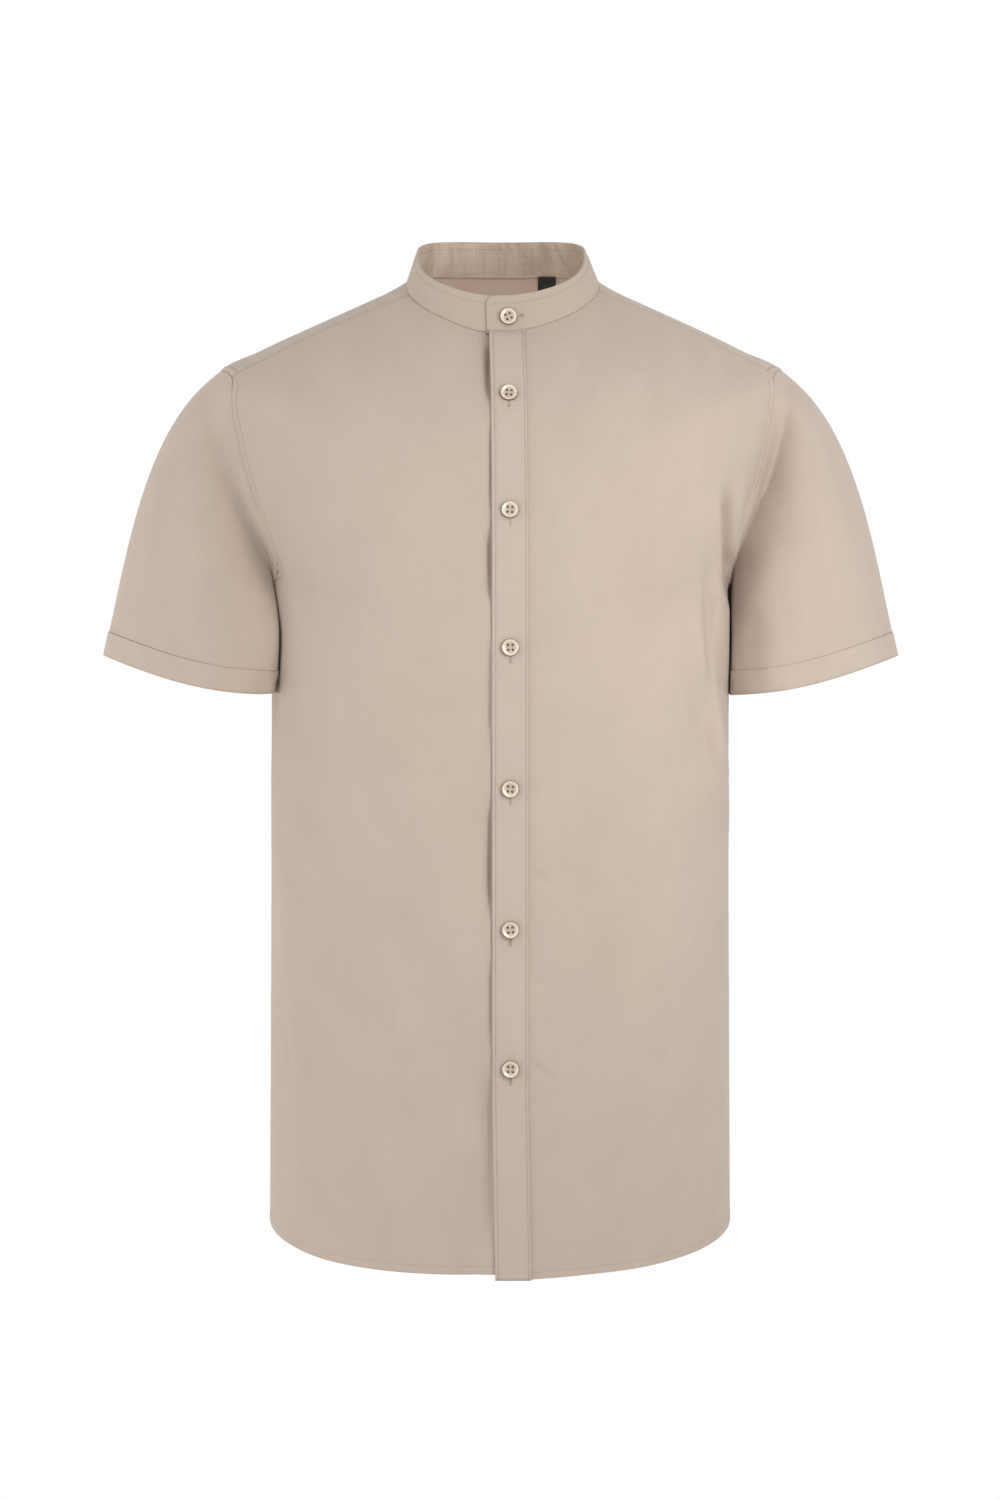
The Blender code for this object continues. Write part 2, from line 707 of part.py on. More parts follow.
def button_mesh(material):
    """A dished button with four holes, its back on the XY plane."""
    radius, half_pitch = BUTTON_ACROSS / 2, BUTTON_PITCH / 2
    profile = (
        # radius, height
        (radius - 0.8, 0.0),
        (radius, 0.9),
        (radius - 0.5, BUTTON_THICK),
        (radius - BUTTON_RIM, BUTTON_THICK),
        (radius - BUTTON_RIM - 0.9, BUTTON_THICK - BUTTON_DISH),
    )
    blank = bmesh.new()
    loops = [
        [
            blank.verts.new((reach * math.cos(angle), reach * math.sin(angle), z))
            for angle in between(0, FULL_TURN, BUTTON_SIDES)[:-1]
        ]
        for reach, z in profile
    ]
    for lower, upper in zip(loops, loops[1:]):
        for i in range(BUTTON_SIDES):
            k = (i + 1) % BUTTON_SIDES
            blank.faces.new((lower[i], lower[k], upper[k], upper[i]))
    blank.faces.new(loops[0][::-1])
    blank.faces.new(loops[-1])
    drill = bmesh.new()
    for x in (-half_pitch, half_pitch):
        for y in (-half_pitch, half_pitch):
            made = bmesh.ops.create_cone(
                drill,
                cap_ends=True,
                segments=HOLE_SIDES,
                radius1=BUTTON_HOLE / 2,
                radius2=BUTTON_HOLE / 2,
                depth=4 * BUTTON_THICK,
            )
            bmesh.ops.translate(drill, verts=made["verts"], vec=(x, y, 0))
    tools = []
    for name, shape in (("button_blank", blank), ("button_drill", drill)):
        mesh = bpy.data.meshes.new(name)
        bmesh.ops.scale(shape, vec=(MM, MM, MM), verts=shape.verts)
        bmesh.ops.recalc_face_normals(shape, faces=shape.faces)
        shape.to_mesh(mesh)
        shape.free()
        tools.append(bpy.data.objects.new(name, mesh))
        bpy.context.scene.collection.objects.link(tools[-1])
    cut = tools[0].modifiers.new("holes", "BOOLEAN")
    cut.object = tools[1]
    cut.solver = "EXACT"
    bpy.context.view_layer.update()
    graph = bpy.context.evaluated_depsgraph_get()
    mesh = bpy.data.meshes.new_from_object(tools[0].evaluated_get(graph))
    mesh.name = "button"
    mesh.materials.clear()
    mesh.materials.append(material)
    for tool in tools:
        bpy.data.objects.remove(tool, do_unlink=True)
    return mesh


def build_buttons(material):
    mesh = button_mesh(material)
    for number, z in enumerate(BUTTON_HEIGHTS, 1):
        if number == 1:
            height = (z - NECK[4]) / (COLLAR_ROW[4] - NECK[4])
            seat, outward = collar(turn_at(COLLAR_BUTTON_X, 0), height, GAP)
        else:
            ring = ring_at(0, z)
            turn = turn_at(placket_centre(z), ring)
            seat, outward = body(turn, ring, GAP + WALL + GAP), normal(turn, ring)
        across = unit(np.cross((0, 0, 1), outward))
        matrix = np.eye(4)
        matrix[:3, :3] = np.array((across, np.cross(outward, across), outward)).T
        matrix[:3, 3] = seat * MM
        button = bpy.data.objects.new(f"button_{number}", mesh)
        button.matrix_world = matrix.T.tolist()
        bpy.context.scene.collection.objects.link(button)


def build_label(material):
    """A short tab that hangs from the collar seam on the yoke's inside."""
    turns = between(*(math.radians(turn) for turn in LABEL_TURNS), 2)
    places = [[np.array((turn, ring)) for turn in turns] for ring in between(*LABEL_RINGS, 3)]
    overlay("size_label", places, -WALL - 2 * GAP - LABEL_WALL, LABEL_WALL, material)


def make_material(name):
    colour, roughness = COLOURS[name]
    material = bpy.data.materials.new(name)
    material.use_nodes = True
    linear = [((channel + 0.055) / 1.055) ** 2.4 for channel in colour]
    shader = material.node_tree.nodes["Principled BSDF"]
    shader.inputs["Base Color"].default_value = (*linear, 1)
    shader.inputs["Roughness"].default_value = roughness
    shader.inputs["Metallic"].default_value = 0
    return material


def main():
    for obj in list(bpy.data.objects):
        bpy.data.objects.remove(obj, do_unlink=True)
    materials = {name: make_material(name) for name in COLOURS}
    mitres = armhole_mitres()
    build_fronts(mitres, materials["cloth"])
    build_back(mitres, materials["cloth"])
    yoke_turns = build_yoke(mitres, materials["cloth"])
    build_collar(yoke_turns, materials["collar"])
    build_sleeves(materials["cloth"])
    build_buttons(materials["button"])
    build_label(materials["label"])


main()
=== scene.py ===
import bpy
import math
import numpy as np
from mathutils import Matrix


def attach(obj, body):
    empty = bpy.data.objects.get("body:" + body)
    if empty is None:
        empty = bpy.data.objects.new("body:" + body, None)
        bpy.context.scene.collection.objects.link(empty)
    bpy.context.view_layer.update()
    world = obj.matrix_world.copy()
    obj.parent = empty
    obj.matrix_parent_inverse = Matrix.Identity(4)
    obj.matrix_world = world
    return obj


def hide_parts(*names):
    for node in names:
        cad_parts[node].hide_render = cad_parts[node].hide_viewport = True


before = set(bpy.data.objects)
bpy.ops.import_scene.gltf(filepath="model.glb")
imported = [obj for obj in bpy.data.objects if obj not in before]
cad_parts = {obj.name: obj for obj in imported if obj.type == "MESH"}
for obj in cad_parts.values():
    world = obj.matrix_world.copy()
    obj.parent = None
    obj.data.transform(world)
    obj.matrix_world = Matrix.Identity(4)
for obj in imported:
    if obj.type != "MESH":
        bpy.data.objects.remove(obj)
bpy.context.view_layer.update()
mm = 0.001
left, right = 1, -1  # the wearer's sides; the left is +X
farAway = 99.0  # stands for a seam or an end too far off to matter, in millimetres
print("frame loaded:", len(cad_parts), "solids")

# Camera first, level with the middle of the shirt and three metres away.
cameraSet = {"distance": 3.0, "height": -0.347, "lens": 96}
camera = bpy.data.objects.new("camera", bpy.data.cameras.new("camera"))
camera.data.lens = cameraSet["lens"]
camera.location = (0, -cameraSet["distance"], cameraSet["height"])
camera.rotation_euler = (math.radians(90), 0, 0)
bpy.context.scene.collection.objects.link(camera)
bpy.context.scene.camera = camera

# The shirt's shape, in millimetres, the same as the solids have. The body is one surface
# of rings that starts at the neck seam, runs out over the shoulders and down to the hem.
# A place on it is (turn, ring): turn goes round from the centre front, positive on the
# wearer's left, and ring is a row of this table, with fractions between rows.
bodyRings = np.array([
    # x, halfWidth, front, back, zFront, zSide, zBack, square, droop
    (2, 72, 60, 58, -39, 2, 16, 2.15, 1.05),  # neck seam
    (2, 85.5, 75, 72, -54, -4, 4, 2.15, 1.2),
    (2, 112.5, 93, 90, -78, -16.2, -18, 2.2, 1.4),
    (1.8, 145.5, 108, 105, -106, -31.3, -47, 2.25, 1.6),
    (1, 180.5, 119, 117, -137, -48, -84, 2.3, 1.6),
    (1, 211, 126, 124, -168, -65, -122, 2.35, 1.6),  # shoulder tip
    (0.5, 209, 130, 128, -195, -100, -158, 2.4, 1.6),
    (0, 198, 132, 130, -222, -142, -195, 2.4, 1.6),
    (0, 184, 133, 131, -250, -184, -230, 2.4, 1.6),
    (0, 173, 133, 131, -276, -220, -262, 2.4, 1.6),  # armpit
    (0, 170.6, 133, 129, -310, -282, -305, 2.8, 1.6),
    (0, 170.6, 132, 124, -370, -360, -370, 2.9, 1.6),
    (0, 170.6, 131, 119, -450, -450, -450, 2.8, 1.6),  # waist
    (0, 171, 130, 118, -540, -540, -540, 2.7, 1.6),
    (0, 171.6, 129, 120, -630, -630, -630, 2.55, 1.6),
    (0, 172.2, 128, 121, -740, -740, -740, 2.4, 1.6),  # tail
])
armholeTable = (
    # turn on the left and on the right in degrees, ring
    (90, 90, 4.97), (77.5, 76, 4.9), (74.8, 72.7, 5.8), (75, 70.8, 6.9), (73.6, 69, 8.0),
    (78, 71.5, 8.72), (90, 90, 9.1), (101, 101, 8.72), (107, 107, 8.0), (108.5, 108.5, 6.9),
    (107, 107, 5.8), (101, 101, 5.05),
)
seams = {
    "yokeFront": 1, "pit": 6, "yokeBack": 10,  # rows of the armhole table
    "yokeAtNeck": {left: 80, right: 75},  # degrees
    "yokeDrop": -86, "hemSide": -694.5, "frontTail": 29.2, "backTail": 34,
    "leftPoint": 4.3, "pointPower": 12,
}
closing = {
    "width": 26,
    "heights": (-727, -600, -200, -90, -39), "centres": (9.6, 7.5, 7.3, 6.5, 4.8),
    "tuck": 2.3, "tuckFrom": -46, "tuckTo": -10,
    "step": 0.5, "stepFrom": -9,
}
bigFolds = (
    # turn at top and foot in degrees, height of top and foot, half breadth, height
    (66, 82, -232, -400, 15, -4.0), (57, 78, -255, -420, 13, 2.6),
    (-70, -78, -235, -370, 17, -2.6), (48, 40, -420, -745, 24, 1.8),
    (-46, -52, -480, -745, 26, 1.6), (-9, -8, -620, -745, 9, -1.6),
    (158, 150, -300, -745, 26, 2.4), (-156, -149, -330, -745, 26, 2.4),
)


def smooth(x):
    x = np.clip(x, 0, 1)
    return x * x * (3 - 2 * x)


def unit(vectors):
    return vectors / np.maximum(np.linalg.norm(vectors, axis=-1, keepdims=True), 1e-9)


def curveThrough(a, b, c, d, f):
    return b + 0.5 * f * (c - a + f * (2 * a - 5 * b + 4 * c - d + f * (3 * (b - c) + d - a)))


def rowsAt(rows, at):
    at = np.clip(at, 0, len(rows) - 1)
    i = np.minimum(at.astype(int), len(rows) - 2)
    b, c = rows[i], rows[i + 1]
    a = np.where((i > 0)[..., None], rows[np.maximum(i - 1, 0)], 2 * b - c)
    d = np.where((i + 2 < len(rows))[..., None], rows[np.minimum(i + 2, len(rows) - 1)], 2 * c - b)
    return curveThrough(a, b, c, d, (at - i)[..., None])


def onRing(row, turn):
    x, halfWidth, front, back, zFront, zSide, zBack, square, droop = np.moveaxis(row, -1, 0)
    s, c = np.sin(turn), np.cos(turn)
    depth = np.where(c > 0, front, back)
    rise = np.where(c > 0, zFront, zBack) - zSide
    c1 = np.abs(c)
    reach = (np.abs(s / halfWidth) ** square + (c1 / depth) ** square) ** (-1 / square)
    share = np.where(rise < 0, c1**droop, c1 * (2 - c1))
    return np.stack((x + reach * s, -reach * c, zSide + rise * share), -1)


def bodySurface(places):
    return onRing(rowsAt(bodyRings, places[..., 1]), places[..., 0])


def bodyNormal(places):
    step = np.array((0.01, 0.0)), np.array((0.0, 0.01))
    inside = np.stack((places[..., 0], np.clip(places[..., 1], 0.01, len(bodyRings) - 1.01)), -1)
    roundIt = bodySurface(inside + step[0]) - bodySurface(inside - step[0])
    down = bodySurface(inside + step[1]) - bodySurface(inside - step[1])
    return unit(np.cross(down, roundIt))


def ringAt(turn, z):
    low, high = np.zeros_like(turn), np.full_like(turn, len(bodyRings) - 1.0)
    for _ in range(26):
        middle = (low + high) / 2
        above = bodySurface(np.stack((turn, middle), -1))[..., 2] > z
        low, high = np.where(above, middle, low), np.where(above, high, middle)
    return low


def turnAt(x, ring):
    row = rowsAt(bodyRings, ring)
    return np.arctan2(x - row[..., 0], row[..., 2])


def places(turn, ring):
    turn, ring = np.broadcast_arrays(np.asarray(turn, float), np.asarray(ring, float))
    return np.stack((turn, ring), -1)


armholes = {
    side: np.array([(side * math.radians(row[column]), row[2]) for row in armholeTable])
    for side, column in ((left, 0), (right, 1))
}


def armhole(side, row):
    table, first = armholes[side], np.floor(row).astype(int)
    around = [table[(first + k) % len(table)] for k in (-1, 0, 1, 2)]
    return curveThrough(*around, (row - first)[..., None])


def line(first, last, t):
    return first + (last - first) * np.asarray(t)[:, None]


def neckCorner(side):
    return np.array((side * math.radians(seams["yokeAtNeck"][side]), 0.0))


def backYokeSeam(side, t):
    corner = armhole(side, np.array(float(seams["yokeBack"])))
    zCorner = bodySurface(corner)[2]
    turn = side * math.pi + (corner[0] - side * math.pi) * t
    return places(turn, ringAt(turn, seams["yokeDrop"] + (zCorner - seams["yokeDrop"]) * t**2))


def hemRing(turn, tail, point=0):
    rise = smooth(np.abs(np.cos(turn))) ** 0.75
    drop = tail * rise + point * np.maximum(np.cos(turn), 0) ** seams["pointPower"]
    return ringAt(turn, seams["hemSide"] - drop)


def placketCentre(z):
    return np.interp(z, closing["heights"], closing["centres"])


def closingLine(rings, offset):
    x = placketCentre(bodySurface(places(0, rings))[:, 2]) + offset
    return places(turnAt(x, rings), rings)


def tuck(x):
    share = (x - closing["tuckFrom"]) / (closing["tuckTo"] - closing["tuckFrom"])
    return closing["tuck"] * smooth(share)


def frontTuck(x, z):
    # The wide tuck fades below the neck; the front still drops under the placket's edge.
    wide = tuck(x) * (1 - 0.8 * smooth((-64 - z) / 40))
    return np.maximum(wide, closing["step"] * smooth((x - closing["stepFrom"]) / 3.5))


# Beside the sleeves the fronts' side edges are pushed forward, as the arms press on them.
sideEdge = {"x": 166, "halfBreadth": 14, "push": {left: 20, right: 2}, "top": -205, "foot": -420}


def forward(side, z):
    e = sideEdge
    return e["push"][side] * smooth((e["top"] - z) / 30) * smooth((z - e["foot"]) / 50)


def along(points):
    steps = np.linalg.norm(np.diff(points, axis=0), axis=-1)
    return np.concatenate((np.zeros_like(steps[:1]), np.cumsum(steps, axis=0)))


def across(points):
    return along(np.swapaxes(points, 0, 1)).T


# Places on the flat cut, in millimetres: how far round from the centre front and how far
# down from the neck seam. They are read from a fine net over the whole body.
netTurns = np.radians(np.arange(-180, 361))
netRings = np.linspace(0, len(bodyRings) - 1, 301)
net = bodySurface(places(netTurns[None], netRings[:, None]))
netCut = np.stack((across(net) - across(net)[:, 180:181], along(net)), -1)


def bodyCut(grid):
    i = np.clip(np.interp(grid[..., 1], netRings, np.arange(len(netRings))), 0, len(netRings) - 1.001)
    j = np.clip(np.interp(grid[..., 0], netTurns, np.arange(len(netTurns))), 0, len(netTurns) - 1.001)
    row, column = i.astype(int), j.astype(int)
    down, aside = (i - row)[..., None], (j - column)[..., None]
    upper = netCut[row, column] * (1 - aside) + netCut[row, column + 1] * aside
    lower = netCut[row + 1, column] * (1 - aside) + netCut[row + 1, column + 1] * aside
    return upper * (1 - down) + lower * down


def withCut(points, cut):
    # A cell is x, y and z with its place on the cut, u and v.
    return np.concatenate((points, cut), -1)


def moved(cells, step):
    return np.concatenate((cells[..., :3] + step, cells[..., 3:]), -1)


def coons(top, foot, start, finish, v):
    u = np.linspace(0, 1, len(top))[None, :, None]
    v = v[:, None, None]
    sides = (1 - u) * start[:, None] + u * finish[:, None] + (1 - v) * top + v * foot
    corners = (1 - u) * (1 - v) * top[0] + u * (1 - v) * top[-1]
    return sides - corners - (1 - u) * v * foot[0] - u * v * foot[-1]


def regrade(grid, surface, nearStart, nearEnd, cell):
    # Slides the columns along each row, so that some lie at set distances from its ends.
    # Returns the new places and their distances from both ends.
    points = surface(grid)
    arc = across(points)
    total = arc[:, -1:]
    slant = []
    for edge, inner in ((points[:, 0], points[:, 2]), (points[:, -1], points[:, -3])):
        cross = np.cross(unit(np.gradient(edge, axis=0)), unit(inner - edge))
        slant.append(np.clip(np.linalg.norm(cross, axis=1), 0.6, 1)[:, None])
    near = np.array((0,) + tuple(nearStart)) / slant[0]
    far = total - np.array(tuple(nearEnd)[::-1] + (0,)) / slant[1]
    widest = (far[:, :1] - near[:, -1:]).max()
    t = np.linspace(0, 1, max(int(widest / cell), 2) + 1)[1:-1]
    middle = near[:, -1:] + (far[:, :1] - near[:, -1:]) * t
    at = np.concatenate((near, middle, far), 1)
    slid = np.empty((len(grid), at.shape[1], 2))
    for i in range(len(grid)):
        for k in (0, 1):
            slid[i, :, k] = np.interp(at[i], arc[i], grid[i, :, k])
    return slid, at * slant[0], (total - at) * slant[1]


def gridNormals(points, closed=False):
    roundIt = np.gradient(points, axis=1)
    if closed:  # the first and the last column are one line
        roundIt[:, 0] = roundIt[:, -1] = points[:, 1] - points[:, -2]
    return unit(np.cross(np.gradient(points, axis=0), roundIt))


def foldHeight(grid, points):
    turn = np.degrees((grid[..., 0] + math.pi) % (2 * math.pi) - math.pi)
    total = np.zeros(turn.shape)
    for topTurn, footTurn, zTop, zFoot, halfBreadth, height in bigFolds:
        share = (zTop - points[..., 2]) / (zTop - zFoot)
        middle = topTurn + (footTurn - topTurn) * share
        reach = np.hypot(points[..., 0], points[..., 1])
        away = np.radians(turn - middle) * reach / halfBreadth
        fadeOut = 1 if zFoot < -740 else smooth((1 - share) * 2)
        total += height * smooth(share * 3) * fadeOut * np.exp(-away * away) * (share < 1)
    return total


def creaseHeight(points, creases):
    # Each crease runs from one point to another as seen from the front, bows sideways by
    # its bow and fades out at both ends. lean makes one flank steeper than the other.
    total = np.zeros(points.shape[:-1])
    p = points[..., (0, 2)]
    for x1, z1, x2, z2, halfBreadth, height, bow, lean in creases:
        a, b = np.array((x1, z1)), np.array((x2, z2))
        length = np.linalg.norm(b - a)
        way = (b - a) / length
        t = ((p - a) @ way) / length
        side = (p - a) @ np.array((-way[1], way[0])) - bow * 4 * t * (1 - t)
        d = side / halfBreadth
        fade = smooth(t / 0.3) * smooth((1 - t) / 0.3)
        total += height * fade * (1 + lean * d) * np.exp(-d * d)
    return total


def ripple(x, seed):
    # An uneven wave from -1 to 1, about one crest each unit of x.
    waves = ((1.0, 1.0), (0.61, 0.7), (1.57, 0.55), (2.31, 0.3))
    total = sum(k * np.sin(2 * math.pi * f * x + seed * (3.1 + 7 * f)) for f, k in waves)
    return total / 2.0


def hump(x, middle, halfBreadth):
    d = (x - middle) / halfBreadth
    return np.exp(-d * d)


# Sewing, in millimetres: how deep the thread pulls each kind of seam into the cloth.
sewn = {"seamDepth": 0.6, "seamBreadth": 0.5, "neckDepth": 0.28, "pull": 0.75, "pullBreadth": 0.55,
        "hemStep": 0.12, "hemPull": 0.18, "lip": 0.8, "turnedIn": 2.0, "hemThick": 0.9}


def seamGroove(distance, depth=sewn["seamDepth"]):
    return -depth * hump(distance, 0, sewn["seamBreadth"])


def stitchGroove(distance, at, depth=sewn["pull"]):
    return -depth * hump(distance, at, sewn["pullBreadth"])


# Materials. Every colour is an sRGB hex value.


def linear(hexColour):
    channels = [int(hexColour[i:i + 2], 16) / 255 for i in (1, 3, 5)]
    return [c / 12.92 if c <= 0.04045 else ((c + 0.055) / 1.055) ** 2.4 for c in channels] + [1]


def addNode(tree, kind, settings=(), links=()):
    node = tree.nodes.new("ShaderNode" + kind)
    for name, value in dict(settings).items():
        if isinstance(name, str) and hasattr(node, name):
            setattr(node, name, value)
        else:
            node.inputs[name].default_value = value
    for name, socket in dict(links).items():
        tree.links.new(socket, node.inputs[name])
    return node


def newMaterial(name, settings=()):
    material = bpy.data.materials.new(name)
    material.use_nodes = True
    tree = material.node_tree
    tree.nodes.clear()
    shader = addNode(tree, "BsdfPrincipled", settings)
    addNode(tree, "OutputMaterial", links={"Surface": shader.outputs[0]})
    return material, tree, shader


# Cotton poplin: plain woven, matt, with a slight bloom at grazing angles. Its threads
# stand 0.25 mm apart, too fine to show, so they are drawn 0.5 mm apart. Uneven yarn
# gives faint streaks both ways, and the cloth is never quite flat.
poplin = {"thread": 0.5, "threadDepth": 0.05, "slub": 0.5, "slubDepth": 0.12, "roughness": 0.86,
          "sheen": 0.18}


def makePoplin(name, hexLight, hexDark, unevenness=0.8, roughness=poplin["roughness"], patch=(1, 0.7, 1)):
    finish = {"Roughness": roughness, "Sheen Weight": poplin["sheen"], "Sheen Roughness": 0.5}
    material, tree, shader = newMaterial(name, finish)
    cut = addNode(tree, "UVMap", {"uv_map": "cut"}).outputs[0]  # in millimetres

    def wave(direction, bands):
        settings = {"wave_type": "BANDS", "bands_direction": direction, "Scale": bands,
                    "Distortion": 0.6, "Detail": 1.0}
        return addNode(tree, "TexWave", settings, {"Vector": cut}).outputs["Fac"]

    def streaks(stretch, scale):
        squeezed = addNode(tree, "Mapping", {"Scale": stretch}, {"Vector": cut}).outputs[0]
        settings = {"Scale": scale, "Detail": 3.0, "Roughness": 0.6}
        return addNode(tree, "TexNoise", settings, {"Vector": squeezed}).outputs["Fac"]

    bands = math.pi / 10 / poplin["thread"]  # a wave's band is pi / 10 over its scale
    weave = addNode(tree, "Math", {"operation": "ADD"},
                    {0: wave("X", bands), 1: wave("Y", bands)}).outputs[0]
    warp = streaks((1.0, 0.05, 1.0), 0.9)
    weft = streaks((0.05, 1.0, 1.0), 0.8)
    yarn = addNode(tree, "Math", {"operation": "ADD"}, {0: warp, 1: weft}).outputs[0]
    patches = streaks(patch, 0.022)
    mixed = addNode(tree, "Math", {"operation": "MULTIPLY_ADD", 1: poplin["slub"]},
                    {0: yarn, 2: patches}).outputs[0]
    share = addNode(tree, "MapRange", {"From Min": 0.7, "From Max": 1.3}, {"Value": mixed})
    colour = addNode(tree, "Mix", {"data_type": "RGBA", 6: linear(hexDark), 7: linear(hexLight)},
                     {0: share.outputs[0]})
    tree.links.new(colour.outputs[2], shader.inputs["Base Color"])
    fine = addNode(tree, "Bump", {"Strength": 0.5, "Distance": poplin["threadDepth"] * mm},
                   {"Height": weave})
    slubs = addNode(tree, "Bump", {"Strength": 0.5, "Distance": poplin["slubDepth"] * mm},
                    {"Height": yarn, "Normal": fine.outputs[0]})
    soft = streaks((1.0, 0.6, 1.0), 0.024)
    drape = addNode(tree, "Bump", {"Strength": 1.0, "Distance": unevenness * mm},
                    {"Height": soft, "Normal": slubs.outputs[0]})
    tree.links.new(drape.outputs[0], shader.inputs["Normal"])
    return material


bodyCloth = makePoplin("cottonPoplin", "#bdac9e", "#b6a597")
# The placket's copy is coloured a shade lighter than the body's: painted light.
placketClothLit = makePoplin("cottonPoplinPlacketLit", "#bdad9f", "#b7a799", unevenness=0.4)
# The collar's copy is coloured darker than the body's: painted shade.
collarClothShaded = makePoplin("cottonPoplinCollarShaded", "#b7a798", "#b1a192", unevenness=0.5)
# Inside, the band is fused and pressed, so it has a satin shine. Its darker colour is painted shade, and its
# light and dark upright streaks are painted highlights.
bandInsideShadeAndHighlights = makePoplin("cottonPoplinPaintedShadeAndHighlights", "#c2b1a0", "#978674", unevenness=0.5, roughness=0.45,
                        patch=(3, 0.5, 1))

# Spun polyester thread: fine and glossier than the cloth, its two plies twisted together
# every 0.4 mm, which draws slanting bands across each stitch.


def makeThread(name, hexDark, hexLight):
    material, tree, shader = newMaterial(name, {"Roughness": 0.6, "Sheen Weight": 0.2})
    place = addNode(tree, "TexCoord").outputs["Object"]
    settings = {"bands_direction": "DIAGONAL", "Scale": math.pi / 10 / (0.4 * mm)}
    plies = addNode(tree, "TexWave", settings, {"Vector": place}).outputs["Fac"]
    mix = addNode(tree, "Mix", {"data_type": "RGBA", 6: linear(hexDark), 7: linear(hexLight)}, {0: plies})
    bump = addNode(tree, "Bump", {"Strength": 0.5, "Distance": 0.08 * mm}, {"Height": plies})
    tree.links.new(mix.outputs[2], shader.inputs["Base Color"])
    tree.links.new(bump.outputs[0], shader.inputs["Normal"])
    return material


# The sewing thread is coloured darker than the cloth: painted shade along the stitch lines.
thread = makeThread("sewingThreadShaded", "#a39280", "#b3a290")
buttonThread = makeThread("buttonThread", "#b09d7e", "#c8b695")

holePitch = 3.3  # between the middles of a button's holes, in millimetres

# Polyester button blank, cast with pearl flakes, turned and tumbled: cloudy cream, the
# flakes giving a part metal gloss. The lighter rim is a painted highlight, and the dark edge and holes are
# painted shade.
pearl, pearlTree, pearlShader = newMaterial("pearlPolyester", {
    "Roughness": 0.25, "IOR": 1.55, "Metallic": 0.2, "Coat Weight": 0.5, "Coat Roughness": 0.12,
})
pearlPlace = addNode(pearlTree, "UVMap", {"uv_map": "cut"}).outputs[0]  # millimetres from the centre
clouds = addNode(pearlTree, "TexNoise", {"Scale": 0.28, "Detail": 3.0, "Distortion": 1.2},
                 {"Vector": pearlPlace})
reach = addNode(pearlTree, "VectorMath", {"operation": "LENGTH"}, {0: pearlPlace}).outputs["Value"]
# Masks for the painted highlight on the rim and the painted shade on the edge.
toRimHighlight = addNode(pearlTree, "MapRange", {"From Min": 3.7, "From Max": 4.4}, {"Value": reach})
toEdgeShade = addNode(pearlTree, "MapRange", {"From Min": 5.6, "From Max": 6.1}, {"Value": reach})
fromAxes = addNode(pearlTree, "VectorMath", {"operation": "ABSOLUTE"}, {0: pearlPlace}).outputs[0]
toHole = (holePitch / 2, holePitch / 2, 0)
fromHole = addNode(pearlTree, "VectorMath", {"operation": "SUBTRACT", 1: toHole}, {0: fromAxes})
holeReach = addNode(pearlTree, "VectorMath", {"operation": "LENGTH"}, {0: fromHole.outputs[0]})
# Mask for the painted shade in the holes.
inHoleShade = addNode(pearlTree, "MapRange", {"From Min": 0.95, "From Max": 0.75},
                 {"Value": holeReach.outputs["Value"]})


def overMix(factor, below, hexColour):
    mix = addNode(pearlTree, "Mix", {"data_type": "RGBA", 7: linear(hexColour)}, {0: factor})
    if isinstance(below, str):
        mix.inputs[6].default_value = linear(below)
    else:
        pearlTree.links.new(below, mix.inputs[6])
    return mix.outputs[2]


dishColour = overMix(clouds.outputs["Fac"], "#ab9b85", "#cabca6")
# Painted highlight on the rim, then painted shade on the edge and in the holes.
rimHighlightColour = overMix(toRimHighlight.outputs[0], dishColour, "#ddd1bd")
edgeShadeColour = overMix(toEdgeShade.outputs[0], rimHighlightColour, "#6d5237")
pearlTree.links.new(overMix(inHoleShade.outputs[0], edgeShadeColour, "#2e2118"), pearlShader.inputs["Base Color"])

# Damask label: black polyester satin, close weft threads 0.3 mm apart, drawn as they are.
satin, satinTree, satinShader = newMaterial("blackLabelSatin", {"Roughness": 0.5, "Specular IOR Level": 0.3})
satinPlace = addNode(satinTree, "UVMap", {"uv_map": "cut"}).outputs[0]
satinWave = addNode(
    satinTree, "TexWave", {"bands_direction": "Y", "Scale": math.pi / 10 / 0.3, "Distortion": 0.4},
    {"Vector": satinPlace},
)
satinBump = addNode(satinTree, "Bump", {"Strength": 0.6, "Distance": 0.06 * mm},
                    {"Height": satinWave.outputs["Fac"]})
satinMix = addNode(satinTree, "Mix", {"data_type": "RGBA", 6: linear("#0c0d0e"), 7: linear("#1a1c1d")},
                   {0: satinWave.outputs["Fac"]})
satinTree.links.new(satinMix.outputs[2], satinShader.inputs["Base Color"])
satinTree.links.new(satinBump.outputs[0], satinShader.inputs["Normal"])
print("materials made")


# Meshes.


def meshObject(name, cells, faces, material):
    cells = np.asarray(cells)
    mesh = bpy.data.meshes.new(name)
    mesh.from_pydata((cells[:, :3] * mm).tolist(), [], faces)
    mesh.materials.append(material)
    if cells.shape[1] == 5:
        layer = mesh.uv_layers.new(name="cut")
        corners = np.empty(len(mesh.loops), np.int32)
        mesh.loops.foreach_get("vertex_index", corners)
        layer.data.foreach_set("uv", cells[corners, 3:].astype(np.float32).ravel())
    mesh.shade_smooth()
    piece = bpy.data.objects.new(name, mesh)
    bpy.context.scene.collection.objects.link(piece)
    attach(piece, "root")
    return piece


def gridFaces(rows, columns, wrap=False):
    last = columns if wrap else columns - 1
    i, j = np.meshgrid(np.arange(rows - 1), np.arange(last), indexing="ij")
    k = (j + 1) % columns
    corners = (i * columns + j, (i + 1) * columns + j, (i + 1) * columns + k, i * columns + k)
    return np.stack(corners, -1).reshape(-1, 4)


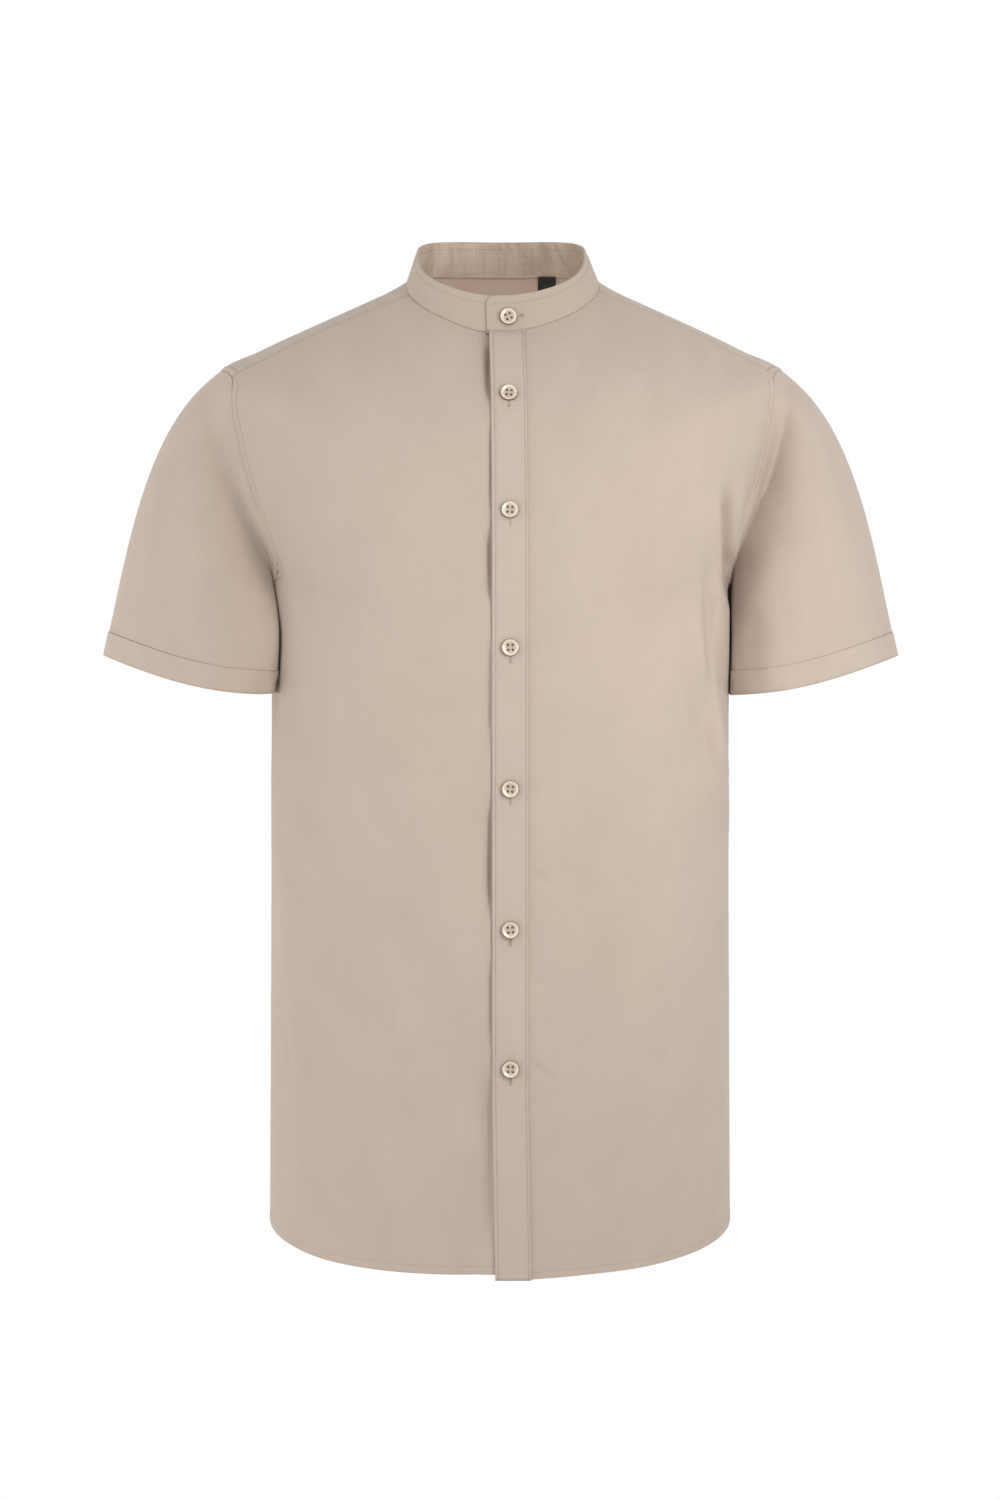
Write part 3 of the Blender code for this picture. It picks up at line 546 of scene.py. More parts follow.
def clothSheet(name, cells, material, capped=False):
    rows, columns = cells.shape[:2]
    faces = gridFaces(rows, columns).tolist()
    if capped:  # the last column lies on the first, and both ends are closed
        ends = (rows - 1) * columns
        faces.append(list(range(columns - 1)))
        faces.append([ends + k for k in range(columns - 2, -1, -1)])
    return meshObject(name, cells.reshape(-1, 5), faces, material)


def dress(piece, slot, *nodes):
    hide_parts(*nodes)
    return piece


def hemReturn(cells, normals, rowsUp):
    # The rows of a turned-up hem: round the fold and back up on the inside.
    inner = cells[-1 - rowsUp[0]:][::-1]
    over = unit(cells[-1, :, :3] - cells[-2, :, :3]) * 0.25
    fold = moved(cells[-1], over - normals[-1] * sewn["hemThick"] / 2)
    inside = [moved(inner[k], -normals[-1 - k] * sewn["hemThick"]) for k in rowsUp[1:]]
    return np.concatenate((cells, fold[None], np.array(inside)))


stitch = {"pitch": 2.7, "length": 2.15, "thick": 0.42, "hemThick": 0.26, "sides": 5}


def threads(middle, ahead, up, length, thick):
    # Short threads that dip into the cloth at both ends: one for each row of middle.
    across = unit(np.cross(up, ahead))
    angles = np.arange(stitch["sides"]) * 2 * math.pi / stitch["sides"]
    rings = []
    for station, lift, girth in ((-0.5, -0.45, 0.5), (-0.36, 0.1, 0.95), (0.0, 0.3, 1.0),
                                 (0.36, 0.1, 0.95), (0.5, -0.45, 0.5)):
        centre = middle + ahead * station * length
        for angle in angles:
            high = thick * (lift + girth / 2 * math.sin(angle))
            wide = thick * girth / 2 * math.cos(angle)
            rings.append(centre + up * high + across * wide)
    points = np.stack(rings, 1)
    faces = gridFaces(5, stitch["sides"], wrap=True)
    every = faces[None] + (np.arange(len(points)) * points.shape[1])[:, None, None]
    return points.reshape(-1, 3), every.reshape(-1, 4)


def stitchRow(path, normals, thick=stitch["thick"]):
    at = along(path)
    count = max(int(at[-1] / stitch["pitch"]), 1)
    where = (np.arange(count) + 0.5) * at[-1] / count

    def sample(values, where):
        return np.stack([np.interp(where, at, values[:, k]) for k in range(3)], -1)

    half = stitch["length"] / 2
    ahead = unit(sample(path, where + half) - sample(path, where - half))
    up = unit(sample(normals, where))
    return threads(sample(path, where), ahead, up, stitch["length"], thick)


def sew(name, rows, material=thread):
    # Joins several rows of stitches, each a (points, faces) pair, into one piece.
    points, faces, first = [], [], 0
    for rowPoints, rowFaces in rows:
        points.append(rowPoints)
        faces.append(rowFaces + first)
        first += len(rowPoints)
    piece = meshObject(name, np.concatenate(points), np.concatenate(faces).tolist(), material)
    return piece


stitching = []

# Sleeves first, because the body panels' edges turn in between sleeve and body. Each
# lengthwise line runs from the armhole to the hem as one Bezier curve. tuckIn is how far
# the front falls back beside the body, and lap how far it comes over the body's edge.
sleeves = {
    left: {"name": "leftSleeve", "node": "left_sleeve", "hem": (232.5, -24, -291), "halfWidth": 66,
           "halfDepth": 58, "sweep": 0.25, "belly": 7, "tuckIn": 25, "tuckFrom": 0.09, "tuckBreadth": 20,
           "lap": 16, "lapAngle": 166, "lapAt": 0.8, "lapReach": 0.5, "lapForward": 0},
    right: {"name": "rightSleeve", "node": "right_sleeve", "hem": (232.4, -34, -290.5), "halfWidth": 65,
            "halfDepth": 60, "sweep": 0.4, "belly": 7.5, "tuckIn": 20, "tuckFrom": 0.16, "tuckBreadth": 32,
            "lap": 23, "lapAngle": 160, "lapAt": 0.5, "lapReach": 0.36, "lapForward": 7},
}
sleeveShape = {
    "tilt": math.radians(13), "square": 2.15, "leaveTop": np.array((0.83, 0, -0.56)),
    "leavePit": np.array((0.05, -0.1, -1.0)), "arrive": np.array((0.21, -0.1, -0.97)),
    "leavePull": 0.3, "arrivePull": 0.35, "clear": 0.8, "soft": 1.6,
    "besideFrom": -195, "besideDeep": 30,
    "tuckHeights": (-300, -228, -166, -120), "tuckMiddles": (168, 168, 179, 188), "lapSpread": 32,
    "cell": 2.4, "nearArmhole": (0.35, 0.75, 1.3, 2.1, 3.2, 4.6, 6.4, 8.6),
    "nearHem": (0.5, 1.2, 3.0, 6.0, 9.5, 13.0, 15.6, 16.8, 17.5, 18.1, 18.8, 20.0, 22.0), "hemDepth": 18.1,
}
sleeveCreases = {
    left: (
        # x and z at the top, x and z at the foot, half breadth, height, bow, lean
        (196, -150, 172, -205, 11, -3.0, 2, 0.2),  # the front falls in above the armpit
        (205, -185, 178, -262, 12, -2.6, 3, 0.0),
        (222, -120, 246, -215, 16, 1.2, -4, 0.2),
        (186, -240, 184, -300, 8, 1.4, 0, 0.3),
        (238, -180, 262, -280, 14, -1.0, 3, 0.2),
        (206, -230, 214, -300, 12, 1.0, 2, 0.2),
    ),
    right: (
        (-196, -140, -180, -205, 12, -2.0, -2, 0.2),
        (-208, -170, -184, -250, 14, -1.8, -3, 0.0),
        (-196, -215, -178, -300, 11, 1.6, -2, 0.2),
        (-230, -120, -252, -220, 17, 1.1, 4, 0.2),
        (-214, -235, -222, -310, 12, -0.9, 2, 0.2),
        (-262, -210, -272, -280, 8, 0.8, 1, 0.2),
    ),
}
roundArmhole = {}
for side in (left, right):
    rows = np.linspace(0, len(armholeTable), 241)
    length = along(bodySurface(armhole(side, rows)))
    roundArmhole[side] = (rows, length / length[-1])


def sideOfBody(y, z):
    turn = np.full(np.shape(z), math.pi / 2)
    for _ in range(4):
        row = rowsAt(bodyRings, ringAt(turn, z))
        _, halfWidth, front, back, _, _, _, square, _ = np.moveaxis(row, -1, 0)
        depth = np.where(y < 0, front, back)
        share = np.maximum(1 - np.abs(y / depth) ** square, 0.05)
        x = halfWidth * share ** (1 / square)
        turn = np.arctan2(x, -y)
    return x


def sleeveSurface(side, row, alongIt):
    # Worked out on the wearer's left and mirrored for the right.
    shape, one = sleeveShape, sleeves[side]
    flip = np.array((side, 1, 1))
    angle = 2 * math.pi * np.interp(row % len(armholeTable), *roundArmhole[side])
    s, c = np.sin(angle), np.cos(angle)
    reach = (np.abs(s) ** shape["square"] + np.abs(c) ** shape["square"]) ** (-1 / shape["square"])
    outward = one["halfWidth"] * c * reach
    x, y, z = one["hem"]
    hem = np.stack((
        x + outward * math.cos(shape["tilt"]),
        y - one["halfDepth"] * s * reach + one["sweep"] * outward,
        z + outward * math.sin(shape["tilt"]) - one["belly"] * np.maximum(s, 0) ** 2 * (1 - c / 3),
    ), -1)
    start = bodySurface(armhole(side, row)) * flip
    length = np.linalg.norm(hem - start, axis=-1, keepdims=True)
    topShare = ((1 + c) / 2)[..., None]
    leave = unit(topShare * shape["leaveTop"] + (1 - topShare) * shape["leavePit"])
    first = start + leave * length * shape["leavePull"]
    last = hem - unit(shape["arrive"]) * length * shape["arrivePull"]
    t = alongIt[..., None]
    point = (1 - t) ** 3 * start + 3 * (1 - t) ** 2 * t * first
    point = point + 3 * (1 - t) * t**2 * last + t**3 * hem
    tuckMiddle = np.interp(point[..., 2], shape["tuckHeights"], shape["tuckMiddles"])
    fallsBack = hump(point[..., 0], tuckMiddle, one["tuckBreadth"]) * smooth(s * 1.6)
    point[..., 1] += one["tuckIn"] * fallsBack * smooth(alongIt / one["tuckFrom"])
    atInnerEdge = hump(np.degrees(angle), one["lapAngle"], shape["lapSpread"])
    lapHere = atInnerEdge * hump(alongIt, one["lapAt"], one["lapReach"])
    point[..., 0] -= one["lap"] * lapHere
    point[..., 1] -= one["lapForward"] * lapHere
    beside = smooth((shape["besideFrom"] - point[..., 2]) / shape["besideDeep"])
    ramp = np.minimum(alongIt * 4, 1.0)
    y = point[..., 1] + forward(side, point[..., 2]) * smooth(-point[..., 1] / 45)
    past = point[..., 0] - sideOfBody(y, point[..., 2]) - shape["clear"] * ramp
    push = (np.hypot(past, shape["soft"] * ramp) - past) / 2
    point[..., 0] += beside * push
    return point * flip


def armholeMitre(side, row):
    # Half way between the body's way out and the sleeve's, pointing in.
    step, zero = 0.02, np.zeros_like(row)
    roundIt = sleeveSurface(side, row + step, zero) - sleeveSurface(side, row - step, zero)
    down = sleeveSurface(side, row, zero + step) - sleeveSurface(side, row, zero)
    outward = unit(np.cross(roundIt, down)) * side
    return -unit(bodyNormal(armhole(side, row)) + outward)


def makeSleeve(side):
    p, one = sleeveShape, sleeves[side]
    rows = seams["pit"] + np.linspace(0, len(armholeTable), 201)

    def surface(grid):
        return sleeveSurface(side, grid[..., 0], grid[..., 1])

    grid = np.stack(np.broadcast_arrays(rows[:, None], np.linspace(0, 1, 60)[None]), -1)
    grid, fromArmhole, fromHem = regrade(grid, surface, p["nearArmhole"], p["nearHem"], p["cell"])
    grid, fromArmhole, fromHem = (np.swapaxes(a, 0, 1) for a in (grid, fromArmhole, fromHem))
    base = surface(grid)
    normals = gridNormals(base, closed=True) * side
    edgeAt = along(base[0])[None]
    hemAt = along(base[-1])[None]
    front, back = smooth((0.2 - normals[..., 1]) / 0.6), smooth((0.2 + normals[..., 1]) / 0.6)
    height = creaseHeight(base, sleeveCreases[side]) * (front + 0.7 * back)
    height += seamGroove(fromArmhole)
    height += 0.3 * ripple(edgeAt / 9, 13 + side) * hump(fromArmhole, 3, 5) * (fromArmhole > 0.3)
    height += sewn["hemStep"] * (1 - smooth((fromHem - p["hemDepth"] + 0.5) / 0.9))
    height += stitchGroove(fromHem, p["hemDepth"], sewn["hemPull"])
    height += 0.3 * ripple(hemAt / 15, 15 + side) * hump(fromHem, 17, 6)
    roundIt = across(base)
    fromUnderarm = np.minimum(roundIt, roundIt[:, -1:] - roundIt)
    height += seamGroove(fromUnderarm, 0.4)
    points = base + normals * height[..., None]
    row = grid.shape[0] - 1 - (p["nearHem"].index(p["hemDepth"]) + 1)
    stitching.append(stitchRow(points[row], normals[row], stitch["hemThick"]))
    cut = np.stack((roundIt - roundIt[:, [roundIt.shape[1] // 2]], along(base)), -1)
    cells = hemReturn(withCut(points, cut), normals, (len(p["nearHem"]), 0, 3, 6, 9))
    inner = moved(cells[0], armholeMitre(side, rows) * sewn["turnedIn"])
    cells = np.concatenate((inner[None], cells))
    if side == right:
        cells = cells[:, ::-1]
    return clothSheet(one["name"], cells, bodyCloth)


for side in (left, right):
    sleeve = dress(makeSleeve(side), "cloth", sleeves[side]["node"])
print("sleeves made")


# Fronts. Rows of the grid run from the placket out to the seams.
fronts = {
    "cell": 2.6, "nearSeam": (0.35, 0.75, 1.3, 2.2, 3.4, 4.6, 5.4, 6.0, 6.6, 7.6, 9.0, 11.0, 13.5),
    "topstitch": 6.0, "bandRise": 0.5, "pucker": 0.85,
    "hemDepth": 5.2, "hemRows": (0.5, 1.3, 2.6, 3.9, 4.6, 5.2, 5.8, 6.8, 8.4, 10.5),
    "neckRows": (0.5, 1.1, 2.0, 3.2, 4.8), "nearPlacket": (0.8, 1.6, 2.6, 3.8, 5.2, 7.0),
}
frontCreases = {
    left: (
        # x and z at the top, x and z at the foot, half breadth, height, bow, lean
        (180, -140, 172, -228, 4.0, 2.6, -2, 0.3),  # ridge beside the armhole
        (165, -146, 170.5, -246, 3.2, -9.5, -1, 0.0),  # hollow next to it
        (156.5, -160, 160, -232, 4.0, 2.4, 0, 0.4),
        (151, -200, 154, -356, 7.5, -6.5, 2, 0.4),  # broad trough down the side
        (145, -200, 146, -325, 4.5, 2.0, 1, 0.3),
        (134, -262, 165, -400, 8.0, -2.8, -3, 0.8),  # crease across to the side seam
        (146, -300, 168, -372, 5.0, 1.1, -2, 0.0),
        (96, -300, 120, -470, 22, 1.2, 4, 0.2),
        (60, -360, 84, -640, 26, -1.1, 3, 0.2),
        (120, -470, 138, -690, 20, 1.3, -3, 0.3),
        (30, -430, 40, -700, 16, 0.8, 2, 0.2),
        (150, -540, 158, -690, 9, -1.0, 2, 0.4),
        (40, -95, 110, -150, 26, 0.7, 5, 0.0),
        # Short puckers beside the placket.
        (21, -434, 38, -446, 2.5, -0.9, 0, 0.0), (21, -512, 36, -519, 2.2, -0.8, 0, 0.0),
        (21, -571, 40, -589, 3.0, -1.1, 1, 0.3), (21, -250, 33, -254, 2.5, -0.7, 0, 0.0),
    ),
    right: (
        (-168, -150, -162, -235, 5.0, -2.6, 2, 0.2),
        (-150, -190, -158, -300, 7.0, 1.0, 2, 0.3),
        (-162, -495, -150, -600, 3.5, -0.9, -2, 0.6),
        (-50, -300, -100, -480, 26, 1.2, -4, 0.2),
        (-86, -420, -140, -640, 24, -1.2, -4, 0.2),
        (-34, -250, -40, -420, 16, -0.8, 2, 0.2),
        (-60, -560, -70, -700, 18, 1.0, 3, 0.3),
        (-120, -300, -134, -420, 12, 0.9, 3, 0.4),
        (-40, -95, -110, -160, 26, 0.6, -5, 0.0),
        # Along the placket the cloth falls in and puffs out again.
        (-7.5, -44, -8.5, -98, 3.6, -3.6, 0, 0.3), (-16, -92, -14, -160, 7.0, 1.0, 0, 0.0),
        (-7.2, -108, -7.0, -180, 1.7, -1.3, 0.4, 0.0), (-7.5, -184, -7.4, -246, 3.0, -3.0, 0, 0.3),
        (-14, -255, -14, -330, 7.5, 0.8, 0, 0.0), (-7.2, -258, -7.2, -350, 1.6, -1.4, -0.4, 0.0),
        (-7.6, -376, -7.2, -472, 3.0, -3.0, 0, 0.3), (-15, -480, -15, -560, 7.0, 1.1, 0, 0.0),
        (-7.2, -490, -7.0, -566, 1.8, -1.3, 0.3, 0.0), (-9, -560, -8.5, -722, 4.5, -2.4, 0, 0.3),
    ),
}


def gradedRows(stretches, nearTop, nearFoot):
    # Where the rows go down the panel: stretches are (length, cells), and single rows are
    # added at set distances from the top and the foot.
    w = []
    for k, (length, cells) in enumerate(stretches):
        t = np.linspace(0, 1, cells + 1)
        if k == 0:
            close = np.array((0,) + nearTop) / length
            t = np.concatenate((close, np.linspace(close[-1], 1, cells)[1:]))
        if k == len(stretches) - 1:
            close = 1 - np.array(nearFoot[::-1] + (0,)) / length
            t = np.concatenate((np.linspace(0, close[0], cells)[:-1], close))
        w.append(k + t[1:] if k else t)
    return np.concatenate(w)


def seamEdge(side, w, firstRow, foot):
    # The panel's outer edge: the armhole for w from 0 to 1, then the side seam.
    edge = np.empty((len(w), 2))
    onArmhole = w <= 1
    edge[onArmhole] = armhole(side, firstRow + (seams["pit"] - firstRow) * w[onArmhole])
    pit = armhole(side, np.array(float(seams["pit"])))
    turn = side * math.pi / 2
    edge[~onArmhole] = line(np.array((turn, pit[1])), np.array((turn, foot)), w[~onArmhole] - 1)
    return edge


def hemHeight(fromFoot, roundIt, seed):
    depth = fronts["hemDepth"]
    height = sewn["hemStep"] * (1 - smooth((fromFoot - depth + 0.2) / 0.8))
    height += stitchGroove(fromFoot, depth, sewn["hemPull"])
    return height + 0.2 * ripple(roundIt / 11, seed) * hump(fromFoot, 4.5, 4.5)


def armholeBand(fromSeam, rise):
    flat = 1 - smooth((fromSeam - 5.5) / 0.9)
    return rise * flat * (1 - np.exp(-((fromSeam / 0.6) ** 2)))


def hemRow(fromFoot):
    return int(np.argmin(np.abs(fromFoot[:, fromFoot.shape[1] // 2] - fronts["hemDepth"])))


def makeFront(side):
    name = "leftFront" if side == left else "rightFront"
    corner = armhole(side, np.array(float(seams["yokeFront"])))
    pit = armhole(side, np.array(float(seams["pit"])))
    point = seams["leftPoint"] if side == left else 0
    hemMiddle = hemRing(np.zeros(1), seams["frontTail"], point)[0]
    hemSide = hemRing(np.full(1, side * math.pi / 2), seams["frontTail"])[0]
    w = gradedRows(((146, 52), (112, 60), (450, 190)), fronts["neckRows"], fronts["hemRows"])
    onYoke, onArmhole = w <= 1, (w > 1) & (w <= 2)
    finish = np.empty((len(w), 2))
    finish[onYoke] = line(neckCorner(side), corner, w[onYoke])
    finish[~onYoke] = seamEdge(side, w[~onYoke] - 1, seams["yokeFront"], hemSide)
    rings = np.interp(w, (0, 1, 2, 3), (0, corner[1], pit[1], hemMiddle))
    half = closing["width"] / 2
    start = closingLine(rings, side * half)
    turns = np.linspace(start[-1, 0], finish[-1, 0], 140)
    foot = places(turns, hemRing(turns, seams["frontTail"], point))
    start[-1] = foot[0]
    neckline = places(np.linspace(start[0, 0], finish[0, 0], 140), 0)
    field = coons(neckline, foot, start, finish, np.interp(w, (0, 1, 2, 3), (0, 0.3, 0.6, 1)))
    field, _, fromSeam = regrade(field, bodySurface, fronts["nearPlacket"], fronts["nearSeam"],
                                fronts["cell"])
    offsets = side * np.array((1 - half, -4, 0, 4, half - 3))  # columns under the placket
    under = [closingLine(rings, offset) for offset in offsets]
    grid = np.concatenate((np.stack(under, 1), field), 1)
    fromSeam = np.concatenate((np.full((len(grid), len(under)), farAway), fromSeam), 1)
    base, normals, roundIt = bodySurface(grid), bodyNormal(grid), across(bodySurface(grid))
    fromTop = along(base)
    fromFoot = fromTop[-1] - fromTop
    height = foldHeight(grid, base)
    height += seamGroove(fromSeam) + seamGroove(fromTop, sewn["neckDepth"])
    edgeAt = along(base[:, -1])[:, None]
    ease = smooth((w[:, None] - 1) * 12) * smooth((2.35 - w[:, None]) * 4)
    height += ease * armholeBand(fromSeam, fronts["bandRise"])
    height += ease * stitchGroove(fromSeam, fronts["topstitch"])
    first, last = edgeAt[onArmhole][0, 0], edgeAt[onArmhole][-1, 0]
    stretch = (edgeAt - first) / (last - first)
    strength = np.interp(stretch, (0, 0.25, 0.45, 0.8, 1.2), (0.25, 0.5, 1.0, 0.9, 0.2))
    crossing = ripple((edgeAt + 1.1 * fromSeam) / 6.5, 1 + side)
    height += fronts["pucker"] * strength * ease * crossing * hump(fromSeam, 3.3, 3.2)
    height += hemHeight(fromFoot, roundIt, 3 + side)
    height += 0.18 * ripple(roundIt / 17, 5 + side) * hump(fromTop, 2, 6) * (fromTop > 0.4)
    if side == right:
        height -= frontTuck(base[..., 0], base[..., 2])
    # Creases stand more to the front than square to the cloth, so they hold at the sides.
    outward = unit(normals + np.array((0, -0.9, 0)))
    points = base + normals * height[..., None]
    points += outward * creaseHeight(base, frontCreases[side])[..., None]
    atSide = hump(np.abs(base[..., 0]), sideEdge["x"], sideEdge["halfBreadth"])
    points[..., 1] -= forward(side, base[..., 2]) * atSide * smooth(-base[..., 1] / 45)
    row = hemRow(fromFoot)
    stitching.append(stitchRow(points[row], normals[row], stitch["hemThick"]))
    column = grid.shape[1] - 1 - (fronts["nearSeam"].index(fronts["topstitch"]) + 1)
    banded = (w >= 1.0) & (w <= 2.02)
    stitching.append(stitchRow(points[banded, column], normals[banded, column]))
    # Turn the seam edges in and the hem up.
    inward = -normals[:, -1]
    rows = seams["yokeFront"] + (seams["pit"] - seams["yokeFront"]) * (w[onArmhole] - 1)
    inward[onArmhole] = armholeMitre(side, rows)
    cells = withCut(points, bodyCut(grid))
    cells = np.concatenate((cells, moved(cells[:, -1], inward * sewn["turnedIn"])[:, None]), 1)
    normals = np.concatenate((normals, normals[:, -1:]), 1)
    cells = hemReturn(cells, normals, (len(fronts["hemRows"]), 0, 3, 6))
    cells = np.concatenate((moved(cells[0], -normals[0] * sewn["lip"])[None], cells))
    if side == right:
        cells = cells[:, ::-1]
    return clothSheet(name, cells, bodyCloth)


for side, node in ((left, "left_front"), (right, "right_front")):
    dress(makeFront(side), "cloth", node)
print("fronts made")


# Back, in two halves that share the centre column.
backPanel = {
    "cell": 3.0, "nearSeam": (0.35, 0.75, 1.3, 2.2, 3.4, 4.6, 5.4, 6.0, 6.6, 7.6, 9.0, 11.5),
    "yokeRows": (0.5, 1.1, 2.0, 3.2, 4.8), "bandRise": 0.45, "pucker": 0.3,
}
backCreases = (
    (-60, -140, -120, -330, 24, 1.6, -6, 0.3), (60, -140, 118, -330, 24, 1.6, 6, 0.3),
    (-150, -190, -120, -330, 9, -2.0, 3, 0.4), (150, -190, 122, -330, 9, -2.0, -3, 0.4),
    (-138, -210, -100, -360, 8, 1.4, 3, 0.2), (138, -210, 104, -350, 8, 1.4, -3, 0.2),
    (-20, -330, -60, -560, 22, -1.4, -4, 0.2), (26, -350, 70, -600, 24, -1.3, 4, 0.2),
    (-110, -430, -130, -700, 20, 1.5, -3, 0.3), (112, -450, 136, -700, 20, 1.5, 3, 0.3),
    (0, -420, 6, -700, 18, 1.1, 3, 0.2), (-156, -480, -150, -640, 8, -0.9, 2, 0.4),
)


def makeBack():
    halves = []
    for side in (left, right):
        pit = armhole(side, np.array(float(seams["pit"])))
        middleTurn = side * math.pi
        seam = backYokeSeam(side, np.linspace(0, 1, 120))
        hemMiddle = hemRing(np.full(1, middleTurn), seams["backTail"])[0]
        hemSide = hemRing(np.full(1, side * math.pi / 2), seams["backTail"])[0]
        w = gradedRows(((120, 56), (455, 170)), backPanel["yokeRows"], fronts["hemRows"])
        onArmhole = w <= 1
        finish = seamEdge(side, w, seams["yokeBack"], hemSide)
        rings = np.interp(w, (0, 1, 2), (seam[0, 1], pit[1], hemMiddle))
        start = places(middleTurn, rings)
        turns = np.linspace(middleTurn, finish[-1, 0], 120)
        foot = places(turns, hemRing(turns, seams["backTail"]))
        field = coons(seam, foot, start, finish, np.interp(w, (0, 1, 2), (0, 0.4, 1)))
        grid, _, fromSeam = regrade(field, bodySurface, (), backPanel["nearSeam"], backPanel["cell"])
        grid[..., 0] %= 2 * math.pi
        base, normals = bodySurface(grid), bodyNormal(grid)
        fromTop = along(base)
        fromFoot = fromTop[-1] - fromTop
        height = foldHeight(grid, base) + creaseHeight(base, backCreases)
        height += seamGroove(fromSeam) + seamGroove(fromTop)
        ease = smooth((1.3 - w[:, None]) * 4)
        height += ease * armholeBand(fromSeam, backPanel["bandRise"])
        height += stitchGroove(fromSeam, fronts["topstitch"])
        edgeAt = along(base[:, -1])[:, None]
        crossing = ripple((edgeAt + fromSeam) / 6.5, 7 + side)
        height += backPanel["pucker"] * ease * crossing * hump(fromSeam, 3.3, 3.2)
        height += hemHeight(fromFoot, across(base), 9)
        points = base + normals * height[..., None]
        row = hemRow(fromFoot)
        stitching.append(stitchRow(points[row], normals[row], stitch["hemThick"]))
        column = grid.shape[1] - 1 - (backPanel["nearSeam"].index(fronts["topstitch"]) + 1)
        stitching.append(stitchRow(points[:, column], normals[:, column]))
        inward = -normals[:, -1]
        rows = seams["yokeBack"] + (seams["pit"] - seams["yokeBack"]) * w[onArmhole]
        inward[onArmhole] = armholeMitre(side, rows)
        cells = withCut(points, bodyCut(grid))
        cells = np.concatenate((cells, moved(cells[:, -1], inward * sewn["turnedIn"])[:, None]), 1)
        normals = np.concatenate((normals, normals[:, -1:]), 1)
        cells = hemReturn(cells, normals, (len(fronts["hemRows"]), 0, 3, 6))
        halves.append(np.concatenate((moved(cells[0], -normals[0] * sewn["turnedIn"])[None], cells)))
    return clothSheet("backPanel", np.concatenate((halves[0][:, ::-1], halves[1][:, 1:]), 1), bodyCloth)


dress(makeBack(), "cloth", "back")
print("back made")


# Yoke, ruled between the neck seam and its rim.
yokePanel = {
    "nearFront": (0.35, 0.75, 1.3, 1.9, 2.6, 4.0, 6.0, 7.0, 8.5), "edgeStitch": 1.9,
    "nearNeck": (0.5, 1.1, 2.0, 3.2),
    "nearRim": (0.35, 0.75, 1.3, 1.9, 2.6, 4.0, 5.4, 6.0, 6.6, 8.0, 10.0), "topstitch": 6.0,
    "armColumns": 44, "backColumns": 76, "cell": 2.6, "bandRise": 0.45,
}


def spaced(dense, near, count):
    # Resamples a line of places: close together at its start, then evenly.
    at = along(bodySurface(dense))
    close = np.array((0,) + near)
    where = np.concatenate((close, np.linspace(close[-1], at[-1], count - len(close) + 1)[1:]))
    return np.stack([np.interp(where, at, dense[:, k]) for k in (0, 1)], -1)


